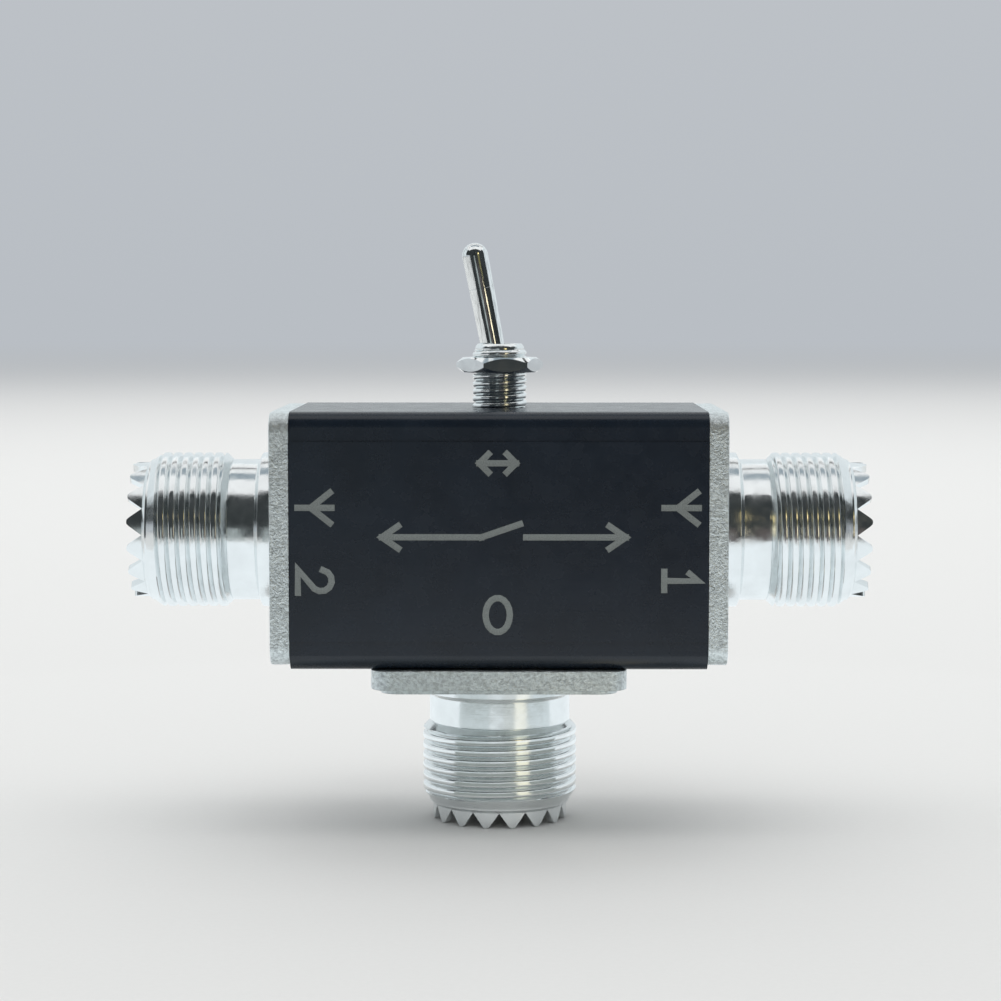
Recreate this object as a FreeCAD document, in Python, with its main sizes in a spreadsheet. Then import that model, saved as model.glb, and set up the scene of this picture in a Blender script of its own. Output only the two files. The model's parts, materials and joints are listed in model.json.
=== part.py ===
"""Coaxial antenna switch, a parametric document in millimetres.

A square aluminium tube lies along X. A threaded jack with a square flange closes each end and a
third hangs from the bottom. A miniature toggle switch stands through the top and, inside, joins the
bottom jack to the left or to the right one. +Z is up, -Y is the front, and the origin is the centre
of the bottom jack's mouth, on which the switch stands.
"""

import FreeCAD, Part
import Sketcher
import math
import os
import re

from FreeCAD import Placement, Rotation, Vector

SIZES = {
    # case: square tube with a raised band on its front and rear and a screw post in each corner
    "case_length": 41.3,
    "case_height": 25.6,
    "case_depth": 25.1,
    "case_corner_radius": 1.5,
    "case_wall": 2.0,
    "band_height": 19.8,
    "band_proud": 0.15,
    "post_radius": 2.9,
    # jacks, measured outwards from the flange's outer face
    "side_flange_side": 25.1,
    "bottom_flange_side": 25.4,
    "side_jack_lift": 0.15,
    "flange_thickness": 2.0,
    "flange_corner_radius": 1.9,
    "step_rise": 0.45,
    "step_inset": 0.9,
    "collar_radius": 7.95,
    "collar_reach": 1.3,
    "neck_radius": 7.25,
    "neck_start": 2.0,
    "thread_radius": 7.9375,
    "thread_start": 4.8,
    "thread_end": 11.9,
    "crown_radius": 7.25,
    "crown_start": 12.9,
    "crown_bore_radius": 6.2,
    "jack_reach": 15.0,
    "tooth_count": 16,
    "tooth_height": 1.6,
    "tooth_gap": 2.3,
    "rear_rim_radius": 6.0,
    "rear_rim_reach": 3.2,
    # insulator and centre contact of a jack
    "socket_floor": 6.9,
    "insulator_seat": 1.5,
    "insulator_ledge": 0.35,
    "insulator_tail_ledge": 1.0,
    "insulator_tail_reach": 4.6,
    "contact_radius": 2.7,
    "contact_bore_radius": 2.0,
    "contact_bore_depth": 8.0,
    "contact_shoulder": 2.0,
    "contact_slot": 0.5,
    "contact_slot_depth": 6.0,
    "cup_radius": 1.7,
    "cup_bore_radius": 0.9,
    "cup_bore_depth": 3.0,
    "cup_reach": 9.0,
    "fit_gap": 0.05,
    # flange screws
    "screw_offset": 9.1,
    "screw_radius": 1.5,
    "screw_length": 8.0,
    "screw_head_radius": 2.75,
    "screw_hole_radius": 1.65,
    "tapped_depth": 6.3,
    # toggle switch, measured up or down from the top of the case
    "bushing_radius": 2.775,
    "bushing_reach": 6.5,
    "bushing_end_radius": 2.3,
    "bushing_bevel": 0.9,
    "nut_width": 7.8,
    "nut_thickness": 1.5,
    "nut_lift": 3.6,
    "nut_bevel": 0.55,
    "nut_turn": 9.0,
    "washer_radius": 4.4,
    "washer_thickness": 0.4,
    "washer_tooth_count": 10,
    "washer_tooth_gap": 1.0,
    "washer_tooth_depth": 0.8,
    "frame_thickness": 0.5,
    "frame_leg_width": 4.0,
    "frame_hook": 1.0,
    "body_length": 13.2,
    "body_depth": 7.9,
    "body_height": 9.5,
    "body_corner_radius": 0.4,
    "cavity_length": 11.0,
    "cavity_width": 5.2,
    "cavity_depth": 7.2,
    # lever, measured along itself from its pivot
    "pivot_height": 2.65,
    "lean": 11.1,
    "ball_radius": 1.9,
    "socket_radius": 1.95,
    "mouth_gap": 0.13,
    "throat_rise": 1.2,
    "lever_base_radius": 1.18,
    "lever_tip_radius": 1.33,
    "lever_reach": 14.4,
    "tail_radius": 1.25,
    "tail_reach": 7.6,
    "plunger_radius": 0.8,
    "plunger_top": 5.0,
    "plunger_gap": 0.15,
    "spring_radius": 0.65,
    "spring_wire_radius": 0.12,
    "spring_start": 0.55,
    # rocker contact and terminals
    "rocker_length": 9.6,
    "rocker_width": 2.2,
    "rocker_thickness": 0.45,
    "rocker_tilt": 8.0,
    "rocker_sink": 0.2,
    "notch_width": 0.8,
    "fulcrum_height": 1.9,
    "fulcrum_taper": 0.7,
    "terminal_pitch": 4.7,
    "terminal_thickness": 0.8,
    "terminal_width": 2.2,
    "terminal_fold": 1.0,
    "terminal_reach": 4.0,
    "terminal_hole_radius": 0.7,
    "terminal_hole_rise": 1.5,
    "contact_gap": 0.03,
    "wire_radius": 0.6,
    "wire_bend_radius": 1.6,
    "wire_lead": 2.2,
    "wire_overhang": 0.8,
}

# places in the row's frame, as expressions of the sizes
CASE_BOTTOM = "(jack_reach + flange_thickness)"
CASE_MIDDLE = f"({CASE_BOTTOM} + case_height / 2)"
CASE_TOP = f"({CASE_BOTTOM} + case_height)"
SIDE_AXIS = f"({CASE_MIDDLE} + side_jack_lift)"
SIDE_FACE = "(case_length / 2 + flange_thickness)"
FRAME_TOP = f"({CASE_TOP} - case_wall - washer_thickness)"
BODY_TOP = f"({FRAME_TOP} - frame_thickness)"
BODY_BOTTOM = f"({BODY_TOP} - body_height)"
CAVITY_FLOOR = f"({BODY_TOP} - cavity_depth)"
FULCRUM = f"({CAVITY_FLOOR} + fulcrum_height)"
PIVOT = f"({CASE_TOP} + pivot_height)"
BUSHING_BASE = "(case_wall + washer_thickness + frame_thickness)"
TERMINAL_END = f"({BODY_BOTTOM} - terminal_reach)"
TERMINAL_HOLE = f"({TERMINAL_END} + terminal_hole_rise)"

# sizes that follow from others: a piece that fits in another takes its size from it
THREAD_CREST_START = "(thread_start + thread_radius - neck_radius)"  # past a 45 degree chamfer
INSULATOR_RADIUS = "(crown_bore_radius - insulator_ledge)"
INSULATOR_TAIL = f"({INSULATOR_RADIUS} - insulator_tail_ledge)"
MOUTH_RADIUS = ("((bushing_reach - pivot_height) * tan(lean)"
                " + (lever_base_radius + mouth_gap) / cos(lean))")
TAIL_BORE = f"((pivot_height + {BUSHING_BASE}) * tan(lean) + tail_radius / cos(lean) + fit_gap)"
PLUNGER_REACH = (f"(pivot_height + {BUSHING_BASE} + cavity_depth - fulcrum_height"
                 " + rocker_sink - rocker_thickness - plunger_gap)")

# how a jack, modelled with its mouth towards +Z, is laid: label, turn about Y, place
JACKS = {
    "ant1": (90, (SIDE_FACE, "0", SIDE_AXIS)),
    "ant2": (-90, (f"-{SIDE_FACE}", "0", SIDE_AXIS)),
    "tx": (180, ("0", "0", "jack_reach")),
}

doc = FreeCAD.newDocument("coaxial_antenna_switch")
sheet = doc.addObject("Spreadsheet::Sheet", "Sizes")
for row, (alias, number) in enumerate(SIZES.items(), start=1):
    sheet.set(f"A{row}", alias)
    sheet.set(f"B{row}", str(number))
    sheet.setAlias(f"B{row}", alias)
doc.recompute()

nodes = []


def link(expression):
    """The expression with each size named as a cell of the sheet."""
    return re.sub(r"[a-z_]\w+", lambda m: f"Sizes.{m[0]}" if m[0] in SIZES else m[0], expression)


def value(expression):
    return float(sheet.evalExpression(link(expression)))


def bind(piece, **expressions):
    for name, expression in expressions.items():
        piece.setExpression(name, link(expression))


def place(piece, x="0", y="0", z="0", turn=0, axis=Vector(0, 1, 0)):
    """Put a piece at x, y, z, turned about an axis by degrees; the place stays bound to the sheet."""
    piece.Placement = Placement(Vector(value(x), value(y), value(z)), Rotation(axis, turn))
    for letter, expression in zip("xyz", (x, y, z)):
        if expression != "0":
            piece.setExpression(f"Placement.Base.{letter}", link(expression))


# sketches and features


def new_body(label):
    body = doc.addObject("PartDesign::Body", label)
    body.Label = label
    nodes.append(body)
    return body


def origin_part(body, role):
    return next(feature for feature in body.Origin.OriginFeatures if feature.Role == role)


def new_sketch(body, name, plane, lift="0", shift="0"):
    """A sketch on an origin plane, moved along the plane's normal and along its own x."""
    sketch = body.newObject("Sketcher::SketchObject", name)
    sketch.AttachmentSupport = [(origin_part(body, plane), "")]
    sketch.MapMode = "FlatFace"
    for letter, expression in (("z", lift), ("x", shift)):
        if expression != "0":
            sketch.setExpression(f"AttachmentOffset.Base.{letter}", link(expression))
    return sketch


def constrain(sketch, kind, *where, size):
    """Add a dimension and bind it to the sheet."""
    index = sketch.addConstraint(Sketcher.Constraint(kind, *where, value(size)))
    sketch.setExpression(f"Constraints[{index}]", link(size))


def lock_point(sketch, geometry, point, x, y):
    """Fix a point at x, y from the sketch's origin."""
    for kind, axis, size in (("DistanceX", -2, x), ("DistanceY", -1, y)):
        if size == "0":
            sketch.addConstraint(Sketcher.Constraint("PointOnObject", geometry, point, axis))
        else:
            constrain(sketch, kind, -1, 1, geometry, point, size=size)


def outline(body, name, plane, corners, lift="0", shift="0"):
    """A closed outline through corners given as pairs of expressions.

    A third expression makes the side that starts there an arc, turning anticlockwise about a centre
    at that height on the sketch's upright axis.
    """
    sketch = new_sketch(body, name, plane, lift, shift)
    points = [Vector(value(x), value(y), 0) for x, y, *_ in corners]
    for here, there, (_, _, *arc) in zip(points, points[1:] + points[:1], corners):
        if arc:
            centre = Vector(0, value(arc[0]), 0)
            start, end = ((point - centre) for point in (here, there))
            circle = Part.Circle(centre, Vector(0, 0, 1), start.Length)
            sketch.addGeometry(Part.ArcOfCircle(circle, *(math.atan2(p.y, p.x) for p in (start, end))))
        else:
            sketch.addGeometry(Part.LineSegment(here, there))
    for side, (x, y, *arc) in enumerate(corners):
        following = (side + 1) % len(corners)
        sketch.addConstraint(Sketcher.Constraint("Coincident", side, 2, following, 1))
        lock_point(sketch, side, 1, x, y)
        if arc:
            constrain(sketch, "DistanceY", -1, 1, side, 3, size=arc[0])
    return sketch


def rectangle(body, name, plane, width, height, x="0", y="0", lift="0"):
    """A rectangle about the point x, y."""
    corners = [(f"{x} {i} ({width}) / 2", f"{y} {j} ({height}) / 2") for i, j in ("--", "+-", "++", "-+")]
    return outline(body, name, plane, corners, lift)


def circles(body, name, plane, radius, centres, lift="0"):
    sketch = new_sketch(body, name, plane, lift)
    for index, (x, y) in enumerate(centres):
        sketch.addGeometry(Part.Circle(Vector(value(x), value(y), 0), Vector(0, 0, 1), value(radius)))
        lock_point(sketch, index, 3, x, y)
        constrain(sketch, "Radius", index, size=radius)
    return sketch


def rounded_rectangle(body, name, plane, width, height, radius, lift="0"):
    """A rectangle about the origin with round corners: sides 0 to 3, corner arcs 4 to 7."""
    sketch = new_sketch(body, name, plane, lift)
    half_width, half_height, round_ = value(width) / 2, value(height) / 2, value(radius)
    flat_x, flat_y = half_width - round_, half_height - round_
    sides = [((-flat_x, -half_height), (flat_x, -half_height)), ((half_width, -flat_y), (half_width, flat_y)),
             ((flat_x, half_height), (-flat_x, half_height)), ((-half_width, flat_y), (-half_width, -flat_y))]
    for start, end in sides:
        sketch.addGeometry(Part.LineSegment(Vector(*start, 0), Vector(*end, 0)))
    centres = [(flat_x, -flat_y), (flat_x, flat_y), (-flat_x, flat_y), (-flat_x, -flat_y)]
    for quarter, centre in enumerate(centres):
        circle = Part.Circle(Vector(*centre, 0), Vector(0, 0, 1), round_)
        first = math.radians(90 * (quarter - 1))
        sketch.addGeometry(Part.ArcOfCircle(circle, first, first + math.pi / 2))
    for side in range(4):
        arc = side + 4
        sketch.addConstraint(Sketcher.Constraint("Tangent", side, 2, arc, 1))
        sketch.addConstraint(Sketcher.Constraint("Tangent", arc, 2, (side + 1) % 4, 1))
        sketch.addConstraint(Sketcher.Constraint(("Horizontal", "Vertical")[side % 2], side))
        if side:
            sketch.addConstraint(Sketcher.Constraint("Equal", 4, arc))
    constrain(sketch, "Radius", 4, size=radius)
    constrain(sketch, "DistanceX", 3, 1, 1, 1, size=width)
    constrain(sketch, "DistanceY", 0, 1, 2, 1, size=height)
    constrain(sketch, "DistanceX", -1, 1, 1, 1, size=f"({width}) / 2")
    constrain(sketch, "DistanceY", 0, 1, -1, 1, size=f"({height}) / 2")
    return sketch


def extrude(body, kind, sketch, length=None, **settings):
    """A Pad or a Pocket; with no length a Pocket goes through all."""
    feature = body.newObject(f"PartDesign::{kind}", f"{kind}_{sketch.Name}")
    feature.Profile = sketch
    if length is None:
        feature.Type = "ThroughAll"
    else:
        bind(feature, Length=length)
    for name, setting in settings.items():
        setattr(feature, name, setting)
    return feature


def turn(body, kind, sketch):
    """A Revolution or a Groove about the sketch's upright axis."""
    feature = body.newObject(f"PartDesign::{kind}", f"{kind}_{sketch.Name}")
    feature.Profile = sketch
    feature.ReferenceAxis = (sketch, ["V_Axis"])
    feature.Angle = 360
    return feature


def repeat_round(body, feature, count, axis="Z_Axis"):
    """Copies of a feature evenly round an axis."""
    pattern = body.newObject("PartDesign::PolarPattern", f"Round_{feature.Name}")
    pattern.Originals = [feature]
    pattern.Axis = (origin_part(body, axis), [""])
    pattern.Angle = 360
    bind(pattern, Occurrences=count)
    body.Tip = pattern
    return pattern


def mirror(body, feature, plane):
    copy = body.newObject("PartDesign::Mirrored", f"Mirror_{feature.Name}")
    copy.Originals = [feature]
    copy.MirrorPlane = (origin_part(body, plane), [""])
    body.Tip = copy
    return copy


def dress_edges(body, kind, size_name, size, wanted):
    """A Fillet or a Chamfer on the edges that the test wanted picks."""
    doc.recompute()
    base = body.Tip
    picked = [f"Edge{i}" for i, edge in enumerate(base.Shape.Edges, start=1) if wanted(edge)]
    if not picked:
        raise RuntimeError(f"{body.Label}: no edge to dress")
    feature = body.newObject(f"PartDesign::{kind}", f"{kind}_{len(body.Group)}")
    feature.Base = (base, picked)
    bind(feature, **{size_name: size})
    return feature


def runs_along(edge, direction):
    """Whether the edge is straight and parallel to the direction."""
    straight = isinstance(edge.Curve, (Part.Line, Part.LineSegment))
    return straight and edge.tangentAt(edge.FirstParameter).cross(direction).Length < 1e-6


# the case


def make_case():
    """Extruded tube with a raised band on two faces and a tapped screw post in each corner."""
    body = new_body("case_tube")
    section = rounded_rectangle(body, "case_section", "YZ_Plane", "case_depth", "case_height",
                                "case_corner_radius")
    extrude(body, "Pad", section, "case_length", SideType="Symmetric")
    band = rectangle(body, "case_band", "YZ_Plane", "case_depth + 2 * band_proud", "band_height")
    extrude(body, "Pad", band, "case_length", SideType="Symmetric")

    wall_y, wall_z = "(case_depth / 2 - case_wall)", "(case_height / 2 - case_wall)"
    post = "(screw_offset - post_radius)"
    cavity = []
    for i, j in (("", ""), ("-", ""), ("-", "-"), ("", "-")):
        corner = [(f"{i}{wall_y}", f"{j}{post}"), (f"{i}{post}", f"{j}{post}"),
                  (f"{i}{post}", f"{j}{wall_z}")]
        cavity += corner if i == j else reversed(corner)
    hollow = outline(body, "case_cavity", "YZ_Plane", cavity)
    extrude(body, "Pocket", hollow, "2 * case_length", SideType="Symmetric")
    inner = value(post)
    dress_edges(body, "Fillet", "Radius", "post_radius - fit_gap", lambda edge: (
        runs_along(edge, Vector(1, 0, 0))
        and all(abs(abs(side) - inner) < 1e-4 for side in edge.CenterOfMass[1:])))

    top = circles(body, "bushing_hole", "XY_Plane", "bushing_radius + fit_gap", [("0", "0")])
    extrude(body, "Pocket", top, "case_height", Reversed=True)
    bottom = circles(body, "jack_hole", "XY_Plane", "rear_rim_radius + 3 * fit_gap", [("0", "0")])
    extrude(body, "Pocket", bottom, "case_height")
    under = circles(body, "bottom_tapped", "XY_Plane", "screw_radius + fit_gap", screw_places(),
                    lift="-case_height / 2")
    extrude(body, "Pocket", under, "tapped_depth", Reversed=True)
    end = circles(body, "end_tapped", "YZ_Plane", "screw_radius + fit_gap",
                  screw_places(rise="side_jack_lift"), lift="case_length / 2")
    mirror(body, extrude(body, "Pocket", end, "tapped_depth"), "YZ_Plane")
    place(body, z=CASE_MIDDLE)


def screw_places(rise="0"):
    """The four flange screws about a jack's axis, which lies rise above the sketch's origin."""
    return [(f"{i}screw_offset", f"{rise} {j} screw_offset") for i in ("", "-") for j in "+-"]


# the jacks, each modelled with its mouth towards +Z and the flange's outer face at zero

FLANGE_SCREWS = "4"
CONTACT_SLOTS = "4"


def turned(label, outer, inner=None):
    """A body turned from an outer outline, then bored to an inner one."""
    body = new_body(label)
    turn(body, "Revolution", outline(body, f"{label}_profile", "XZ_Plane", outer))
    if inner:
        turn(body, "Groove", outline(body, f"{label}_bore", "XZ_Plane", inner))
    return body


def make_shell(name, flange_side, stepped):
    """The cast shell: square flange, neck, thread crest and a crown of teeth round its mouth."""
    tail, seat = f"{INSULATOR_TAIL} + fit_gap", f"{INSULATOR_RADIUS} + fit_gap"
    body = turned(f"{name}_jack_shell", [
        ("0", "-rear_rim_reach"), ("rear_rim_radius", "-rear_rim_reach"), ("rear_rim_radius", "0"),
        ("collar_radius", "0"), ("collar_radius", "collar_reach"), ("neck_radius", "neck_start"),
        ("neck_radius", "thread_start"), ("thread_radius", THREAD_CREST_START),
        ("thread_radius", "thread_end"), ("crown_radius", "crown_start"), ("crown_radius", "jack_reach"),
        ("0", "jack_reach")])
    flange = rounded_rectangle(body, f"{name}_flange", "XY_Plane", flange_side, flange_side,
                               "flange_corner_radius")
    extrude(body, "Pad", flange, "flange_thickness", Reversed=True)
    if stepped:
        step_side = f"{flange_side} - 2 * step_inset"
        step = rounded_rectangle(body, f"{name}_step", "XY_Plane", step_side, step_side,
                                 "flange_corner_radius - step_inset / 2")
        extrude(body, "Pad", step, "step_rise")
    bore = outline(body, f"{name}_bore", "XZ_Plane", [
        ("0", "-2 * rear_rim_reach"), (tail, "-2 * rear_rim_reach"), (tail, "insulator_seat"),
        (seat, "insulator_seat"), (seat, "socket_floor"),
        ("crown_bore_radius", "socket_floor"),
        ("crown_bore_radius", "2 * jack_reach"), ("0", "2 * jack_reach")])
    turn(body, "Groove", bore)
    valley = outline(body, f"{name}_tooth_gap", "XZ_Plane", [
        ("0", "jack_reach - tooth_height"), ("tooth_gap / 2", "jack_reach"),
        ("tooth_gap / 2", "jack_reach + tooth_height"), ("-tooth_gap / 2", "jack_reach + tooth_height"),
        ("-tooth_gap / 2", "jack_reach")])
    repeat_round(body, extrude(body, "Pocket", valley, "2 * crown_radius"), "tooth_count")
    head = "(screw_head_radius + fit_gap)"
    hole = outline(body, f"{name}_screw_hole", "XZ_Plane", [
        ("0", "-2 * flange_thickness"), ("screw_hole_radius", "-2 * flange_thickness"),
        ("screw_hole_radius", f"screw_hole_radius - {head}"), (head, "0"), (head, "2 * step_rise"),
        ("0", "2 * step_rise")], lift="-screw_offset", shift="screw_offset")
    repeat_round(body, turn(body, "Groove", hole), FLANGE_SCREWS)
    return body


def make_insulator(name):
    """A white plug between shell and contact, with a shoulder that seats in the shell."""
    barrel, stem = "(contact_radius + fit_gap)", "(cup_radius + fit_gap)"
    return turned(f"{name}_insulator", [
        (barrel, "socket_floor"), (INSULATOR_RADIUS, "socket_floor"), (INSULATOR_RADIUS, "insulator_seat"),
        (INSULATOR_TAIL, "insulator_seat"), (INSULATOR_TAIL, "-insulator_tail_reach"),
        (stem, "-insulator_tail_reach"), (stem, "-contact_shoulder"), (barrel, "-contact_shoulder")])


def make_contact(name):
    """Slotted socket in front, solder cup with a cut-away side behind."""
    bottom = "socket_floor - contact_bore_depth"
    body = turned(f"{name}_centre_contact", [
        ("0", "-cup_reach"), ("cup_radius", "-cup_reach"), ("cup_radius", "-contact_shoulder"),
        ("contact_radius", "-contact_shoulder"), ("contact_radius", "socket_floor"), ("0", "socket_floor")],
        [("0", bottom), ("contact_bore_radius", bottom), ("contact_bore_radius", "2 * socket_floor"),
         ("0", "2 * socket_floor")])
    slot = rectangle(body, f"{name}_slot", "XY_Plane", "2 * contact_radius", "contact_slot",
                     x="contact_radius", lift="socket_floor")
    repeat_round(body, extrude(body, "Pocket", slot, "contact_slot_depth"), CONTACT_SLOTS)
    cup = circles(body, f"{name}_cup_bore", "XY_Plane", "cup_bore_radius", [("0", "0")], lift="-cup_reach")
    extrude(body, "Pocket", cup, "cup_bore_depth", Reversed=True)
    side = rectangle(body, f"{name}_cup_side", "XZ_Plane", "3 * cup_radius", "cup_bore_depth",
                     y="-cup_reach")
    extrude(body, "Pocket", side, "2 * cup_radius")
    return body


def make_screws(name):
    """Four countersunk screws, flush with the flange's outer face."""
    body = new_body(f"{name}_flange_screws")
    profile = outline(body, f"{name}_screw", "XZ_Plane", [
        ("0", "0"), ("screw_head_radius", "0"), ("screw_radius", "screw_radius - screw_head_radius"),
        ("screw_radius", "-screw_length"), ("0", "-screw_length")],
        lift="-screw_offset", shift="screw_offset")
    repeat_round(body, turn(body, "Revolution", profile), FLANGE_SCREWS)
    return body


def make_jacks():
    for name, (angle, where) in JACKS.items():
        stepped = name == "tx"
        flange_side = "bottom_flange_side" if stepped else "side_flange_side"
        for body in (make_shell(name, flange_side, stepped), make_insulator(name), make_contact(name),
                     make_screws(name)):
            place(body, *where, turn=angle)


# the toggle switch's fixed pieces


def make_bushing():
    """Threaded bushing with a round seat for the lever's ball and a mouth that stops the lever."""
    base = f"-{BUSHING_BASE}"
    body = turned("switch_bushing", [
        ("0", base), ("bushing_radius", base), ("bushing_radius", "bushing_reach - bushing_bevel"),
        ("bushing_end_radius", "bushing_reach"), ("0", "bushing_reach")], [
        ("0", f"2 * {base}"), (TAIL_BORE, f"2 * {base}"), (TAIL_BORE, base),
        ("socket_radius", "pivot_height - socket_radius"), ("socket_radius", "pivot_height", "pivot_height"),
        ("sqrt(socket_radius ^ 2 - throat_rise ^ 2)", "pivot_height + throat_rise"),
        (MOUTH_RADIUS, "bushing_reach"), (MOUTH_RADIUS, "2 * bushing_reach"), ("0", "2 * bushing_reach")])
    place(body, z=CASE_TOP)


def make_nut():
    """Hexagon nut: a bevelled disc with six flats cut."""
    corner = "nut_width / sqrt(3)"
    body = turned("switch_nut", [
        ("0", "0"), ("nut_width / 2", "0"), (corner, "nut_bevel"), (corner, "nut_thickness - nut_bevel"),
        ("nut_width / 2", "nut_thickness"), ("0", "nut_thickness")])
    flat = rectangle(body, "nut_flat", "XY_Plane", "nut_width", "2 * nut_width", x="nut_width")
    repeat_round(body, extrude(body, "Pocket", flat, "2 * nut_thickness", Reversed=True), "6")
    bore = circles(body, "nut_bore", "XY_Plane", "bushing_radius + fit_gap", [("0", "0")])
    extrude(body, "Pocket", bore, "2 * nut_thickness", Reversed=True)
    place(body, z=f"{CASE_TOP} + nut_lift", turn=30 + value("nut_turn"), axis=Vector(0, 0, 1))


def make_washer():
    """Lock washer with teeth round its bore."""
    bore = "(bushing_radius + fit_gap)"
    body = turned("switch_lock_washer", [
        (bore, "0"), ("washer_radius", "0"), ("washer_radius", "washer_thickness"),
        (bore, "washer_thickness")])
    gap = rectangle(body, "washer_gap", "XY_Plane", f"{bore} + washer_tooth_depth", "washer_tooth_gap",
                    x=f"({bore} + washer_tooth_depth) / 2")
    repeat_round(body, extrude(body, "Pocket", gap, "2 * washer_thickness", Reversed=True),
                 "washer_tooth_count")
    place(body, z=FRAME_TOP)


def make_switch_frame():
    """Folded steel yoke: a plate on the moulded body and a hooked leg at each end."""
    body = new_body("switch_frame")
    inner, outer = "(body_length / 2 + contact_gap)", "(body_length / 2 + contact_gap + frame_thickness)"
    hook, under = f"({inner} - frame_hook)", f"({BODY_BOTTOM} - frame_thickness)"
    right = [(outer, under), (outer, FRAME_TOP)]
    left_inside = [(f"-{hook}", under), (f"-{hook}", BODY_BOTTOM), (f"-{inner}", BODY_BOTTOM),
                   (f"-{inner}", BODY_TOP)]
    left = [(f"-{x}", z) for x, z in reversed(right)]
    right_inside = [(x[1:], z) for x, z in reversed(left_inside)]
    side = outline(body, "frame_side", "XZ_Plane", right + left + left_inside + right_inside)
    extrude(body, "Pad", side, "body_depth", SideType="Symmetric")
    trim_width = "(body_depth - frame_leg_width)"
    for i in "+-":
        trim = rectangle(body, f"leg_trim_{'left' if i == '-' else 'right'}", "YZ_Plane", trim_width,
                         "2 * body_height", x=f"0 {i} (frame_leg_width + {trim_width}) / 2",
                         y=f"{BODY_TOP} - body_height")
        extrude(body, "Pocket", trim, "2 * body_length", SideType="Symmetric")
    hole = circles(body, "frame_hole", "XY_Plane", "bushing_radius + contact_gap", [("0", "0")],
                   lift=BODY_TOP)
    extrude(body, "Pocket", hole, "2 * frame_thickness", Reversed=True)


TERMINALS = {"ant2_terminal": "-terminal_pitch", "common_terminal": "0", "ant1_terminal": "terminal_pitch"}


def make_switch_body():
    """Moulded cup that holds the terminals and the rocker."""
    body = new_body("switch_body")
    block = rounded_rectangle(body, "body_block", "XY_Plane", "body_length", "body_depth",
                              "body_corner_radius", lift=BODY_BOTTOM)
    extrude(body, "Pad", block, "body_height")
    cavity = rectangle(body, "body_cavity", "XY_Plane", "cavity_length", "cavity_width", lift=BODY_TOP)
    extrude(body, "Pocket", cavity, "cavity_depth")
    for name, place_x in TERMINALS.items():
        slot = rectangle(body, f"{name}_slot", "XY_Plane", "terminal_thickness + 2 * contact_gap",
                         "terminal_width + 2 * contact_gap", x=place_x, lift=CAVITY_FLOOR)
        extrude(body, "Pocket", slot, "body_height")


def make_terminals():
    """Flat lugs: the middle one ends in the rocker's fulcrum, the others in a folded contact."""
    half, top = "terminal_thickness / 2", f"({FULCRUM} - rocker_sink - contact_gap)"
    for name, place_x in TERMINALS.items():
        body = new_body(name)
        if name == "common_terminal":
            corners = [(f"-{half}", TERMINAL_END), (half, TERMINAL_END), (half, f"{FULCRUM} - fulcrum_taper"),
                       ("0", FULCRUM), (f"-{half}", f"{FULCRUM} - fulcrum_taper")]
        else:
            outward = "" if place_x == "terminal_pitch" else "-"
            inward = "-" if outward == "" else ""
            under = f"({top} - terminal_thickness)"
            corners = [(f"{place_x} {sign or '+'} {x}", z) for sign, x, z in (
                (inward, half, TERMINAL_END), (outward, half, TERMINAL_END), (outward, half, top),
                (inward, "terminal_fold", top), (inward, "terminal_fold", under), (inward, half, under))]
        side = outline(body, f"{name}_side", "XZ_Plane", corners)
        extrude(body, "Pad", side, "terminal_width", SideType="Symmetric")
        eye = circles(body, f"{name}_eye", "YZ_Plane", "terminal_hole_radius", [("0", TERMINAL_HOLE)])
        extrude(body, "Pocket", eye, "4 * terminal_pitch", SideType="Symmetric")


def bent_wire(label, corners):
    """Round wire along straight runs joined by tangent arcs, in the plane y = 0."""
    points = [Vector(value(x), 0, value(z)) for x, z in corners]
    bend, edges, start = value("wire_bend_radius"), [], points[0]
    for before, corner, after in zip(points, points[1:], points[2:]):
        back, ahead = (before - corner).normalize(), (after - corner).normalize()
        half_angle = back.getAngle(ahead) / 2
        run = bend / math.tan(half_angle)
        centre = corner + (back + ahead).normalize() * (bend / math.sin(half_angle))
        first, last = corner + back * run, corner + ahead * run
        middle = centre + (corner - centre).normalize() * bend
        edges += [Part.LineSegment(start, first).toShape(), Part.Arc(first, middle, last).toShape()]
        start = last
    edges.append(Part.LineSegment(start, points[-1]).toShape())
    section = Part.Wire([Part.Circle(points[0], points[1] - points[0], value("wire_radius")).toShape()])
    wire = doc.addObject("Part::Feature", label)
    wire.Label = label
    wire.Shape = Part.Wire(edges).makePipeShell([section], True, True)
    nodes.append(wire)


def make_wires():
    """Bare wires from the solder cups through the eyes of the lugs."""
    inside_cup = "(cup_reach - cup_bore_depth + contact_gap)"
    for name, sign in (("ant1", ""), ("ant2", "-")):
        bent_wire(f"{name}_wire", [(f"{sign}({x})", z) for x, z in (
            (f"{SIDE_FACE} - {inside_cup}", SIDE_AXIS),
            (f"{SIDE_FACE} - cup_reach - wire_lead", SIDE_AXIS),
            ("terminal_pitch + wire_lead + terminal_thickness / 2", TERMINAL_HOLE),
            ("terminal_pitch - terminal_thickness / 2 - wire_overhang", TERMINAL_HOLE))])
    beside = "terminal_thickness / 2 + contact_gap + wire_radius"
    bent_wire("common_wire", [
        ("0", f"jack_reach + {inside_cup}"), ("0", "jack_reach + cup_reach + wire_radius"),
        (beside, f"{TERMINAL_END} - wire_radius"), (beside, f"{TERMINAL_HOLE} + wire_overhang")])


# the toggle switch's moving pieces, modelled upright about the lever's pivot


def hang(body):
    """Hang a piece from the pivot at the lever's lean."""
    place(body, z=PIVOT, turn=-value("lean"))


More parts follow.
